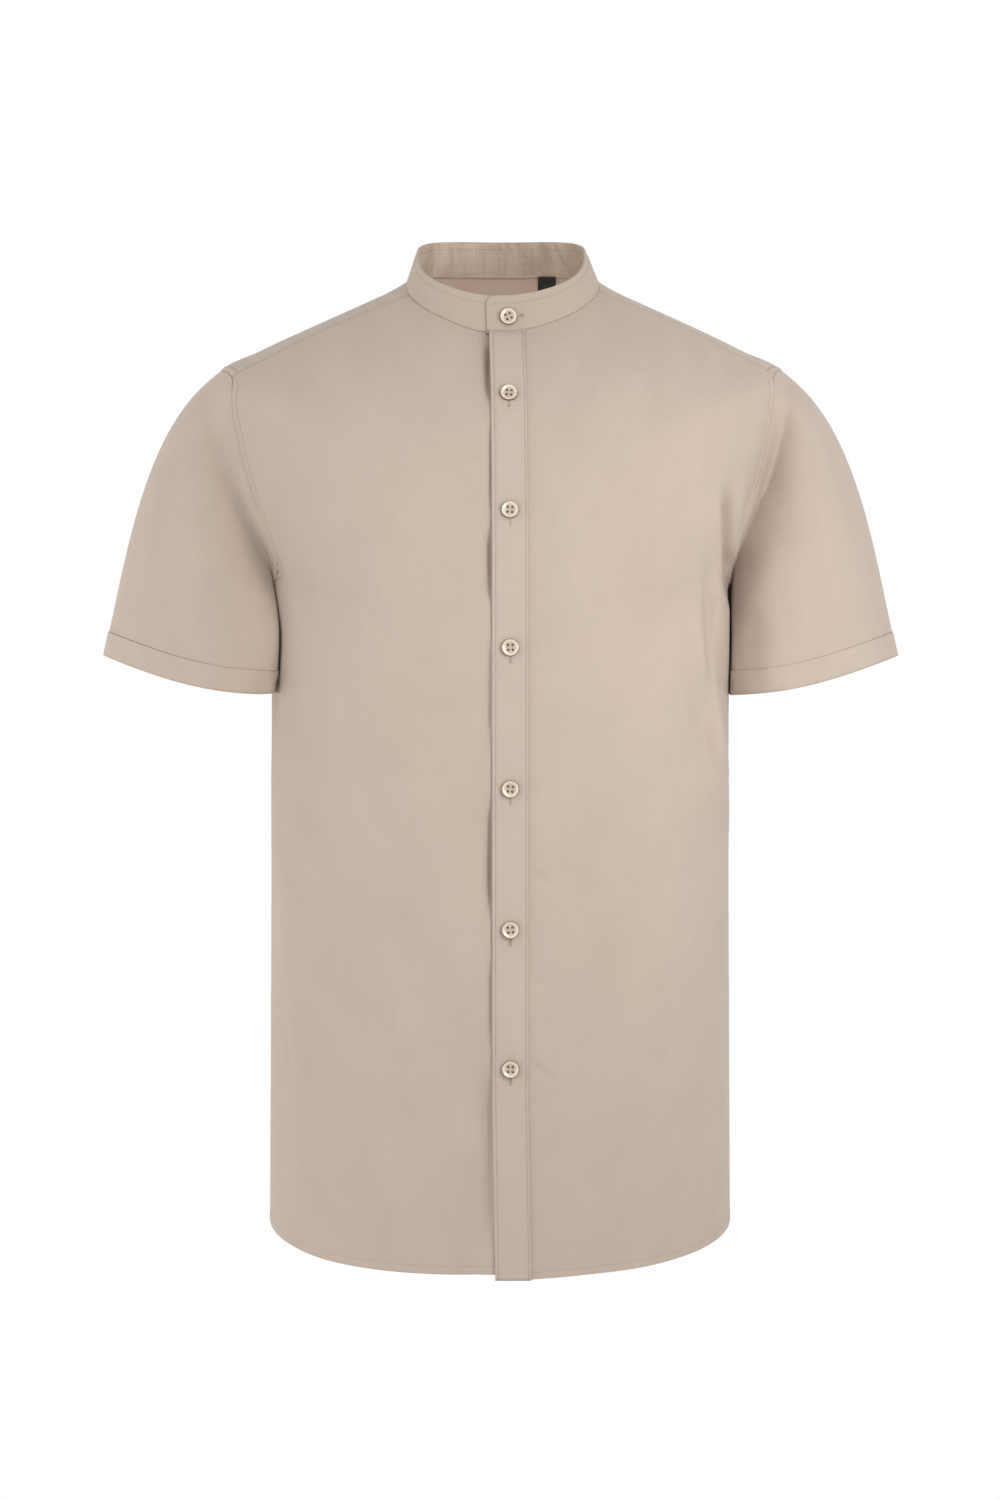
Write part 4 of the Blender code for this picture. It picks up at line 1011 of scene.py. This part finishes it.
def makeYoke():
    p = yokePanel
    armCount = p["armColumns"] - 1
    armRows = np.linspace(seams["yokeFront"], seams["yokeBack"] - len(armholeTable), 200)
    rim = []
    for side in (left, right):
        arm = spaced(armhole(side, armRows), p["nearFront"], p["armColumns"])
        back = spaced(backYokeSeam(side, np.linspace(1, 0, 200)), (), p["backColumns"])
        rim.append(np.concatenate((arm, back[1:])))
    rim[1][:, 0] %= 2 * math.pi
    rim = np.concatenate((rim[0], rim[1][::-1][1:]))
    first, last = neckCorner(left)[0], 2 * math.pi + neckCorner(right)[0]
    dense = places(np.linspace(first, last, 600), 0)
    half = (len(rim) + 1) // 2
    at = along(bodySurface(dense))
    close = np.array((0,) + p["nearFront"])
    where = np.concatenate((close, np.linspace(close[-1], at[-1] / 2, half - len(close) + 1)[1:]))
    where = np.concatenate((where, (at[-1] - where)[::-1][1:]))
    neck = np.stack([np.interp(where, at, dense[:, k]) for k in (0, 1)], -1)
    grid = neck[:, None] + (rim - neck)[:, None] * np.linspace(0, 1, 90)[:, None]
    grid, fromNeck, fromRim = regrade(grid, bodySurface, p["nearNeck"], p["nearRim"], p["cell"])
    grid, fromNeck, fromRim = (np.swapaxes(a, 0, 1) for a in (grid, fromNeck, fromRim))
    base, normals = bodySurface(grid), bodyNormal(grid)
    roundIt = across(base)
    fromFront = np.minimum(roundIt, roundIt[:, -1:] - roundIt)
    columns = np.arange(grid.shape[1])[None]
    onArm = (columns <= armCount) | (columns >= grid.shape[1] - 1 - armCount)
    height = foldHeight(grid, base)
    height += seamGroove(fromRim) + seamGroove(fromNeck, sewn["neckDepth"]) + seamGroove(fromFront)
    height += 0.4 * (1 - smooth(fromFront - 7)) * (1 - np.exp(-((fromFront / 0.5) ** 2)))
    height += stitchGroove(fromFront, p["edgeStitch"], 0.25)
    armEdge = armholeBand(fromRim, p["bandRise"]) + stitchGroove(fromRim, p["topstitch"])
    backEdge = 0.35 * (1 - smooth(fromRim - 7)) + stitchGroove(fromRim, p["edgeStitch"], 0.25)
    height += np.where(onArm, armEdge, backEdge)
    height += 0.2 * ripple((roundIt[-1][None] + fromRim) / 7, 11) * hump(fromRim, 3.3, 3.2)
    height += 0.1 * ripple(fromNeck / 13, 12) * hump(fromFront, 2, 4)
    points = base + normals * height[..., None]
    frontColumn = p["nearFront"].index(p["edgeStitch"]) + 1
    for column in (frontColumn, grid.shape[1] - 1 - frontColumn):
        stitching.append(stitchRow(points[:, column], normals[:, column]))
    armRow = grid.shape[0] - 1 - (p["nearRim"].index(p["topstitch"]) + 1)
    backRow = grid.shape[0] - 1 - (p["nearRim"].index(p["edgeStitch"]) + 1)
    for row, stretch in ((armRow, slice(0, armCount + 1)), (armRow, slice(-armCount - 1, None)),
                         (backRow, slice(armCount, -armCount))):
        stitching.append(stitchRow(points[row, stretch], normals[row, stretch]))
    # Turned-in edges all round.
    rimIn = -normals[-1]
    rows = np.linspace(seams["yokeFront"], seams["yokeBack"] - len(armholeTable), armCount + 1)
    rimIn[:armCount + 1] = armholeMitre(left, rows)
    rimIn[-armCount - 1:] = armholeMitre(right, rows)[::-1]
    cells = withCut(points, bodyCut(grid))
    cells = np.concatenate((
        moved(cells[0], -normals[0] * sewn["lip"])[None], cells,
        moved(cells[-1], rimIn * sewn["turnedIn"])[None],
    ))
    sides = np.concatenate((normals[:1], normals, normals[-1:])) * sewn["turnedIn"]
    start, finish = moved(cells[:, 0], -sides[:, 0]), moved(cells[:, -1], -sides[:, -1])
    return clothSheet("yoke_", np.concatenate((start[:, None], cells, finish[:, None]), 1), bodyCloth)


dress(makeYoke(), "cloth", "yoke")
print("yoke made")


# Placket: a folded band on the left front, closed all round, with the buttonholes cut
# along its middle.
placket = {
    "caught": (0.5, 6.0), "above": 0.3, "thick": 1.3, "edgeRound": 0.45,
    "leftStitch": 2.4, "rightStitch": 24.2,
    "columns": (0, 0.25, 0.8, 1.5, 2.4, 3.3, 5, 8, 11, 12.2, 12.7, 13, 13.3, 13.8, 15, 18, 21, 22.6,
                23.5, 24.2, 24.9, 25.4, 25.8, 26),
}
placketLifts = (
    # height, half breadth along the edge, lift of the left edge
    (-58, 26, 2.0), (-200, 26, 1.5), (-316, 14, 0.5), (-436, 24, 1.7), (-520, 30, 0.3), (-650, 50, 0.9),
)
buttons = {
    "heights": (-28.6, -89.5, -175.2, -273.7, -375, -476, -576),  # the first is on the collar
    "collarX": 6.6, "across": 12.7, "hole": 1.7, "holeDepth": 1.7, "pitch": holePitch, "sides": 96,
    "seat": 0.3, "threadHeight": 1.95, "threadApart": 0.2, "threadThick": 0.28,
    "turned": (-24, 4, 3, -3, 5, -6, 2),  # degrees clockwise
    "lean": (0, 10, 0, 0, 2, 0, 0),  # degrees that the button's face leans down
}
buttonhole = {
    "length": 14, "below": 4.4, "slit": 0.24, "slitDepth": 0.5, "pitch": 0.55, "bar": 1.15, "thick": 0.22,
    "collarAside": 4.4, "collarUp": 1.0,
}


def inButtonhole(z):
    # 1 along each slit, 0 elsewhere.
    inside = np.zeros(z.shape)
    for height in buttons["heights"][1:]:
        away = np.abs(z - (height - buttonhole["below"]))
        inside = np.maximum(inside, 1 - smooth((away - buttonhole["length"] / 2 + 1.5) / 1.5))
    return inside


def placketSurface(rings, fromLeft):
    half = closing["width"] / 2
    grid = np.stack([closingLine(rings, offset - half) for offset in fromLeft], 1)
    base, normals = bodySurface(grid), bodyNormal(grid)
    return base + normals * foldHeight(grid, base)[..., None], normals, bodyCut(grid)


def placketTop(rings, fromLeft):
    # The placket's outer face, its lift off the front, and its way out.
    p = placket
    base, normals, cut = placketSurface(rings, fromLeft)
    z, down = base[..., 2], cut[..., 1]
    fromLeft, fromRight = fromLeft[None], closing["width"] - fromLeft[None]
    edge = np.minimum(fromLeft, fromRight)
    rounding = np.sqrt(np.clip(1 - (1 - np.clip(edge / p["edgeRound"], 0, 1)) ** 2, 0, 1))
    lift = sum(h * hump(z, middle, breadth) for middle, breadth, h in placketLifts) * np.exp(-fromLeft / 7)
    caught = 0.15 + 0.85 * smooth((down - p["caught"][0]) / p["caught"][1])  # flat in the neck seam
    lift = lift * (caught - 0.15)
    top = p["above"] + p["thick"] * (0.35 + 0.65 * rounding) * caught + lift
    top = top + stitchGroove(fromLeft, p["leftStitch"]) + stitchGroove(fromLeft, p["rightStitch"])
    puckers = ripple((down + 2 * fromLeft) / 14, 17)
    top = top + 0.16 * caught * puckers * (hump(fromLeft, 2, 3.5) + hump(fromRight, 2, 3.5))
    top = top + 0.25 * ripple(down / 46, 19) * hump(fromLeft, 13, 9)
    return base, normals, cut, top, lift


def makePlacket():
    p = placket
    hemMiddle = hemRing(np.zeros(1), seams["frontTail"], seams["leftPoint"])[0]
    dense = np.linspace(0, hemMiddle, 2000)
    at = along(bodySurface(places(0, dense)))
    rings = np.interp(np.arange(0, at[-1], 1.6), at, dense)
    rings[-1] = hemMiddle
    columns = np.array(p["columns"], float)
    base, normals, cut, top, lift = placketTop(rings, columns)
    slit = hump(columns[None], closing["width"] / 2, buttonhole["slit"]) * inButtonhole(base[..., 2])
    upper = withCut(base + normals * (top - buttonhole["slitDepth"] * slit)[..., None], cut)
    lower = withCut(base + normals * (p["above"] + lift)[..., None], cut)[:, ::-1]
    for name in ("leftStitch", "rightStitch"):
        column = p["columns"].index(p[name])
        stitching.append(stitchRow(upper[:, column, :3], normals[:, column]))
    middle = len(columns) // 2
    loop = np.concatenate((lower[:, middle:], upper, lower[:, :middle + 1]), 1)
    return clothSheet("placketBand", loop, placketClothLit, capped=True)


dress(makePlacket(), "cloth", "front_placket")
print("placket made")


# Collar band: one strip, its left end rounded and on top, its right end underneath. Its
# inner face runs a little below the foot, over the neck seam.
collar = {
    "top": np.array((1, 62.5, 57.5, 54, -12.5, 26.5, 40.5, 2.35, 0.9)),
    "leftEnd": -10, "rightEnd": 18, "corner": 8, "thick": 1.7, "proud": 0.5, "footRound": 0.4,
    "topstitch": 5.6, "cell": 1.7, "near": (0, 0.3, 0.8, 1.5, 2.5, 3.6, 4.8, 6.2, 8.0),
    "rows": (0, 0.25, 0.6, 1.2, 2.2, 3.6, 5, 7.5, 10, 12.5, 15, 17, 18.3, 19.0, 19.6, 20.6, 22, 23.3, 24.2,
             24.8),
    "below": (1.2, 3.0), "neckRadius": 60, "wrinkleSlant": 0.35, "cutApart": 60,
}
innerWrinkles = (
    # turn in degrees, half breadth, height, how far below the edge, half length
    (222, 2.6, 2.0, 9, 12), (216, 2.5, -0.7, 10, 12), (209, 3.0, 1.6, 12, 12), (200, 3.0, -0.6, 12, 9),
    (196, 1.4, 1.4, 3, 4), (191, 1.3, -0.7, 3, 4), (187, 1.3, 1.5, 3, 5), (183, 1.2, -0.7, 3, 4),
    (179, 1.3, 1.5, 3, 4), (172, 2.0, 1.2, 4, 6), (166, 3.0, -0.6, 10, 9), (160, 2.2, 1.9, 10, 12),
    (154, 2.2, 1.8, 11, 12), (149, 2.0, -0.6, 9, 9), (141, 2.0, 2.3, 10, 12), (136, 2.2, -0.8, 9, 12),
    (131, 2.0, 2.1, 10, 12), (124, 4.0, -0.8, 11, 12), (232, 3.0, -0.8, 10, 12), (240, 4.0, 1.5, 11, 12),
)


def collarSurface(grid):
    foot, top = bodySurface(places(grid[..., 0], 0)), onRing(collar["top"], grid[..., 0])
    return foot + (top - foot) * grid[..., 1:2]


def makeCollar():
    p = collar
    ends = turnAt(np.array((p["leftEnd"], p["rightEnd"]), float), np.zeros(2))
    dense = np.linspace(ends[0], 2 * math.pi + ends[1], 3000)
    at = along(collarSurface(places(dense, 0.0)))
    close = np.array(p["near"])
    middle = np.arange(close[-1] + p["cell"], at[-1] - close[-1], p["cell"])
    turns = np.interp(np.concatenate((close, middle, (at[-1] - close)[::-1])), at, dense)
    x = bodySurface(places(turns, 0))[:, 0]
    onLeft, onRight = turns < math.pi / 2, turns > 1.5 * math.pi
    toEnd = np.where(onLeft, x - x[0], np.where(onRight, x[-1] - x, farAway))
    lower = np.where(onRight, tuck(x), 0.0)
    short = np.clip(1 - toEnd / p["corner"], 0, 1)
    tall = np.linalg.norm(collarSurface(places(turns, 1.0)) - collarSurface(places(turns, 0.0)), axis=1)
    kept = 1 - p["corner"] / tall * (1 - np.sqrt(1 - short**2))
    rise = np.array(p["rows"]) / p["rows"][-1]
    base = collarSurface(np.stack(np.broadcast_arrays(turns[None], rise[:, None] * kept[None]), -1))
    normals = -gridNormals(base)
    footNormals = bodyNormal(places(turns, 0))
    share = rise[:, None, None]
    base = base - unit(normals * share + footNormals[None] * (1 - share)) * lower[None, :, None]
    fromFoot = rise[:, None] * (tall * kept)[None]
    fromTop = (tall * kept)[None] - fromFoot
    rounded = np.clip(np.minimum(fromTop / 0.7, fromFoot / p["footRound"]), 0, 1)
    rounded = np.sqrt(1 - (1 - rounded) ** 2)
    endRound = np.sqrt(1 - (1 - np.clip(toEnd / 0.6, 0, 1)) ** 2)[None]
    lengthAt = np.interp(turns, dense, at)[None]
    outward = p["proud"] - 0.7 * (1 - rounded) - 0.6 * (1 - endRound)
    outward = outward + stitchGroove(fromTop, p["topstitch"], 0.3)
    outward = outward + 0.12 * ripple(lengthAt / 16, 21) * hump(fromTop, 4, 4)
    outward = outward + 0.25 * ripple(lengthAt / 60, 23) * hump(fromTop, 12, 9)
    outer = base + normals * outward[..., None]
    inward = p["thick"] - p["proud"] - 0.5 * (1 - np.where(fromTop < 2, rounded, 1)) - 0.4 * (1 - endRound)
    turnDegrees = np.degrees(turns)[None]
    wrinkles = np.zeros(fromTop.shape)
    for turn, breadth, height, below, reach in innerWrinkles:
        away = np.radians(turnDegrees - turn) * p["neckRadius"] + p["wrinkleSlant"] * (fromTop - below)
        wrinkles += height * hump(away, 0, breadth) * hump(fromTop, below, reach)
    wrinkles *= smooth(fromTop / 1.5) * smooth(fromFoot / 2.5)
    wrinkles += stitchGroove(fromTop, p["topstitch"], 0.45)
    wrinkles += 0.35 * ripple(lengthAt / 7, 25) * hump(fromTop, 3.5, 3.2)
    inner = base - normals * (inward + wrinkles)[..., None]
    row = int(np.argmin(np.abs(np.array(p["rows"]) - (p["rows"][-1] - p["topstitch"]))))
    stitching.append(stitchRow(outer[row, 3:-3], normals[row, 3:-3]))
    stitching.append(stitchRow(inner[row, 3:-3], -normals[row, 3:-3]))
    ringsDown = np.interp(p["below"], along(bodySurface(places(math.pi, netRings[:40]))), netRings[:40])
    skirtPlaces = places(turns[None], ringsDown[:, None])
    depth = (p["thick"] - p["proud"] + lower)[None, :, None]
    skirt = bodySurface(skirtPlaces) - bodyNormal(skirtPlaces) * depth
    cutOuter = np.stack(np.broadcast_arrays(lengthAt, fromFoot), -1)
    cutInner = np.stack(np.broadcast_arrays(lengthAt, p["cutApart"] - fromFoot), -1)
    skirtDown = p["cutApart"] + np.array(p["below"])[:, None]
    cutSkirt = np.stack(np.broadcast_arrays(lengthAt, skirtDown), -1)
    outer, inner = withCut(outer, cutOuter), withCut(inner, cutInner)[::-1]
    loop = np.concatenate((outer, inner, withCut(skirt, cutSkirt), outer[:1]))
    band = clothSheet("mandarinCollar", np.swapaxes(loop, 0, 1), collarClothShaded, capped=True)
    # The inner face takes the copy with painted shade and painted highlights.
    band.data.materials.append(bandInsideShadeAndHighlights)
    inside = np.zeros((loop.shape[1] - 1, loop.shape[0] - 1), np.int32)
    inside[:, len(p["rows"]):] = 1
    ends = np.zeros(2, np.int32)
    band.data.polygons.foreach_set("material_index", np.concatenate((inside.ravel(), ends)))
    return band


dress(makeCollar(), "collar", "collar_band")
print("collar made")


# Size label: a small folded tab caught in the neck seam, left without any letters.
label = {"left": 29.4, "right": 43.2, "rings": (0.05, 0.82), "under": 2.2, "thick": 0.7, "curl": 1.2}


def makeLabel():
    p = label
    rings = np.linspace(*p["rings"], 16)
    fromLeft = np.linspace(0, 1, 14)
    backTurns = np.radians(np.linspace(90, 180, 400))
    rows = []
    for ring in rings:
        xs = bodySurface(places(backTurns, ring))[:, 0]
        rows.append(np.interp(p["left"] + (p["right"] - p["left"]) * fromLeft, xs[::-1], backTurns[::-1]))
    grid = places(np.array(rows), rings[:, None])
    base, normals = bodySurface(grid), bodyNormal(grid)
    down = np.linspace(0, 1, len(rings))[:, None]
    face = p["under"] + p["curl"] * down**2 + 0.25 * np.sin(math.pi * fromLeft)[None] * down
    edge = np.minimum(np.minimum(fromLeft, 1 - fromLeft)[None] * 14, 1 - down + 0.02)
    half = p["thick"] / 2 * np.clip(edge * 6, 0.15, 1)
    middle = base - normals * face[..., None]
    cut = np.stack((np.broadcast_to(fromLeft * 14, half.shape), along(base)), -1)
    toNeck = withCut(middle - normals * half[..., None], cut)  # the side that is seen
    toBack = withCut(middle + normals * half[..., None], cut)[:, ::-1]
    return clothSheet("sizeLabel", np.concatenate((toNeck, toBack, toNeck[:, :1]), 1), satin, capped=True)


dress(makeLabel(), "label", "size_label")
print("label made")


# Buttons, each with its four-hole sewing, and the buttonholes that show below them.


def seatOf(number):
    # Where a button sits, and the ways across, up and out of its face.
    z = buttons["heights"][number]
    if number == 0:
        neck, top = bodyRings[0], collar["top"]
        turn = turnAt(np.array(buttons["collarX"]), np.zeros(1))[0]
        share = (z - neck[4]) / (top[4] - neck[4])
        spots = np.array([(turn + a, share + b) for a, b in ((0, 0), (0.02, 0), (0, 0.05))])
        seat, aside, above = collarSurface(spots)
        outward = unit(np.cross(aside - seat, above - seat))
        return seat + outward * (collar["proud"] + buttons["seat"]), outward
    ring = ringAt(np.zeros(1), np.array([z]))
    _, normals, _, top, _ = placketTop(ring, np.array((closing["width"] / 2,)))
    base, _, _ = placketSurface(ring, np.array((closing["width"] / 2,)))
    outward = normals[0, 0]
    return base[0, 0] + outward * (top[0, 0] + buttons["seat"]), outward


def buttonCells():
    # Rings of the button's outside in its own axes, z out of the cloth, with the holes
    # pressed into its face. The last two numbers place the pearl's clouds.
    radius, centre = buttons["across"] / 2, buttons["pitch"] / 2
    outline = (
        # radius, height: the back, the edge, the rim, then the dish
        (0.02, 0.0), (3.0, 0.0), (5.3, 0.0), (5.75, 0.08), (6.1, 0.35), (6.3, 0.8), (radius, 1.3),
        (6.33, 1.8), (6.22, 2.25), (6.0, 2.6), (5.75, 2.76), (5.5, 2.8), (5.25, 2.76), (5.0, 2.67),
        (4.75, 2.55), (4.5, 2.41), (4.25, 2.27), (4.0, 2.15), (3.75, 2.07), (3.5, 2.02), (3.3, 2.0),
    ) + tuple((r, 2.0) for r in np.arange(3.18, 1.0, -0.12)) + ((0.8, 2.0), (0.4, 2.0), (0.02, 2.0))
    angles = np.linspace(0, 2 * math.pi, buttons["sides"] + 1)
    r = np.array([p[0] for p in outline])[:, None]
    x, y = r * np.cos(angles), r * np.sin(angles)
    z = np.broadcast_to(np.array([p[1] for p in outline])[:, None], x.shape)
    fromHole = np.hypot(np.abs(x) - centre, np.abs(y) - centre)
    atHole = smooth((buttons["hole"] / 2 + 0.1 - fromHole) / 0.2)
    pressed = buttons["holeDepth"] * atHole * (z > 1.9) * (r < 3.3)
    return np.stack((x, y, z - pressed, x, y), -1)


def placed(points, seat, outward, turned, lean):
    acrossIt = unit(np.cross((0, 0, 1), outward))
    upIt = np.cross(outward, acrossIt)
    a, b = math.radians(turned), math.radians(lean)
    x = points[..., 0] * math.cos(a) + points[..., 1] * math.sin(a)
    y = points[..., 1] * math.cos(a) - points[..., 0] * math.sin(a)
    leaned = outward * math.cos(b) - upIt * math.sin(b)
    upIt = upIt * math.cos(b) + outward * math.sin(b)
    return seat + x[..., None] * acrossIt + y[..., None] * upIt + points[..., 2:3] * leaned


buttonSewing = []
cells = buttonCells()
for number in range(len(buttons["heights"])):
    pose = (*seatOf(number), buttons["turned"][number], buttons["lean"][number])
    placedCells = withCut(placed(cells[..., :3], *pose), cells[..., 3:])
    faces = gridFaces(*cells.shape[:2]).tolist()
    button = meshObject("shirtButton" + str(number + 1), placedCells.reshape(-1, 5), faces, pearl)
    dress(button, "button", "button_" + str(number + 1))
    centre = buttons["pitch"] / 2
    apart, height = buttons["threadApart"], buttons["threadHeight"]
    bars = np.array([(x + k, 0, height) for x in (-centre, centre) for k in (-apart, apart)])
    zero = placed(np.zeros(3), *pose)
    ahead = placed(np.array((0.0, 1.0, 0.0)), *pose) - zero
    up = placed(np.array((0.0, 0.0, 1.0)), *pose) - zero
    count = len(bars)
    buttonSewing.append(threads(placed(bars, *pose), np.tile(ahead, (count, 1)), np.tile(up, (count, 1)),
                                buttons["pitch"] + 0.5, buttons["threadThick"]))
sew("buttonSewing", buttonSewing, buttonThread)
print("buttons made")


def buttonholeThreads(middle, lengthways, outward):
    # Close crosswise threads down both sides of the slit, and a bar at each end.
    p = buttonhole
    crosswise = unit(np.cross(outward, lengthways))
    steps = np.arange(-p["length"] / 2 + 0.8, p["length"] / 2 - 0.7, p["pitch"])
    rows = [(step, side * (p["bar"] / 2 + 0.12), p["bar"]) for step in steps for side in (-1, 1)]
    for end in (-1, 1):
        rows += [(end * (p["length"] / 2 - k), 0, 2 * p["bar"] + 0.3) for k in (0, 0.4)]
    made = []
    for length in sorted({row[2] for row in rows}):
        chosen = [row for row in rows if row[2] == length]
        spots = np.array([middle + lengthways * step + crosswise * aside for step, aside, _ in chosen])
        count = len(chosen)
        made.append(threads(spots, np.tile(crosswise, (count, 1)), np.tile(outward, (count, 1)), length,
                            p["thick"]))
    return made


holes = []
for number in range(1, len(buttons["heights"])):
    seat, outward = seatOf(number)
    down = unit(np.array((0, 0, -1.0)) + outward * outward[2])
    holes += buttonholeThreads(seat + down * buttonhole["below"] - outward * buttons["seat"], down, outward)
seat, outward = seatOf(0)
aside = unit(np.cross((0, 0, 1), outward))
sunk = outward * (buttons["seat"] + 0.05)
beside = seat + aside * buttonhole["collarAside"] + np.array((0, 0, buttonhole["collarUp"]))
holes += buttonholeThreads(beside - sunk, aside, outward)
sew("buttonholes", holes)
sew("topstitching", stitching)
print("stitching sewn:", len(stitching), "rows")

# Light: a white room with a dimmer ceiling, and soft lamps in front that aim at the chest.
room = {"dimFrom": 0.35, "ceiling": 0.6, "floor": -1.5, "aim": (0, -0.1, -0.35)}
lamps = {
    # x, y, z in metres, size, watts
    "highLamp": ((0.42, -0.8, 0.2), 0.36, 0.95),
    "rightLamp": ((0.46, -0.72, -0.2), 0.3, 2.0),
    "leftLamp": ((-1.3, -0.45, -0.45), 0.7, 4.3),
}
world = bpy.data.worlds.new("room")
bpy.context.scene.world = world
world.use_nodes = True
sky = world.node_tree.nodes["Background"]
direction = addNode(world.node_tree, "TexCoord").outputs["Generated"]
upward = addNode(world.node_tree, "SeparateXYZ", links={0: direction}).outputs["Z"]
overhead = addNode(world.node_tree, "MapRange", {"From Min": room["dimFrom"], "From Max": 1.0,
                                                 "To Min": 1.0, "To Max": room["ceiling"]},
                   {"Value": upward})
world.node_tree.links.new(overhead.outputs[0], sky.inputs["Color"])
for name, (spot, size, watts) in lamps.items():
    lamp = bpy.data.objects.new(name, bpy.data.lights.new(name, "AREA"))
    lamp.data.shape = "DISK"
    lamp.data.size = size
    lamp.data.energy = watts
    lamp.location = spot
    aim = np.array(room["aim"]) - np.array(spot)
    lamp.rotation_euler = (math.acos(-aim[2] / np.linalg.norm(aim)), 0, math.atan2(-aim[0], aim[1]))
    bpy.context.scene.collection.objects.link(lamp)
# What the thin cloth lets through lights the inside of the neck.
throughCloth = {"watts": 1.1, "radius": 0.05, "place": (0, -0.03, -0.3)}
glow = bpy.data.objects.new("throughCloth", bpy.data.lights.new("throughCloth", "POINT"))
glow.data.energy = throughCloth["watts"]
glow.data.shadow_soft_size = throughCloth["radius"]
glow.location = throughCloth["place"]
bpy.context.scene.collection.objects.link(glow)

floorMesh = bpy.data.meshes.new("studioFloor")
floorMesh.from_pydata([(-3, -3, 0), (3, -3, 0), (3, 2.6, 0), (-3, 2.6, 0)], [], [(0, 1, 2, 3)])
floor = bpy.data.objects.new("studioFloor", floorMesh)
floor.location = (0, 0, room["floor"])
floorPaint, _, floorShader = newMaterial("palePaint", {"Roughness": 0.9})
floorShader.inputs["Base Color"].default_value = linear("#e2e2df")
floorMesh.materials.append(floorPaint)
bpy.context.scene.collection.objects.link(floor)
bpy.context.scene.view_settings.view_transform = "Standard"
print("room lit")
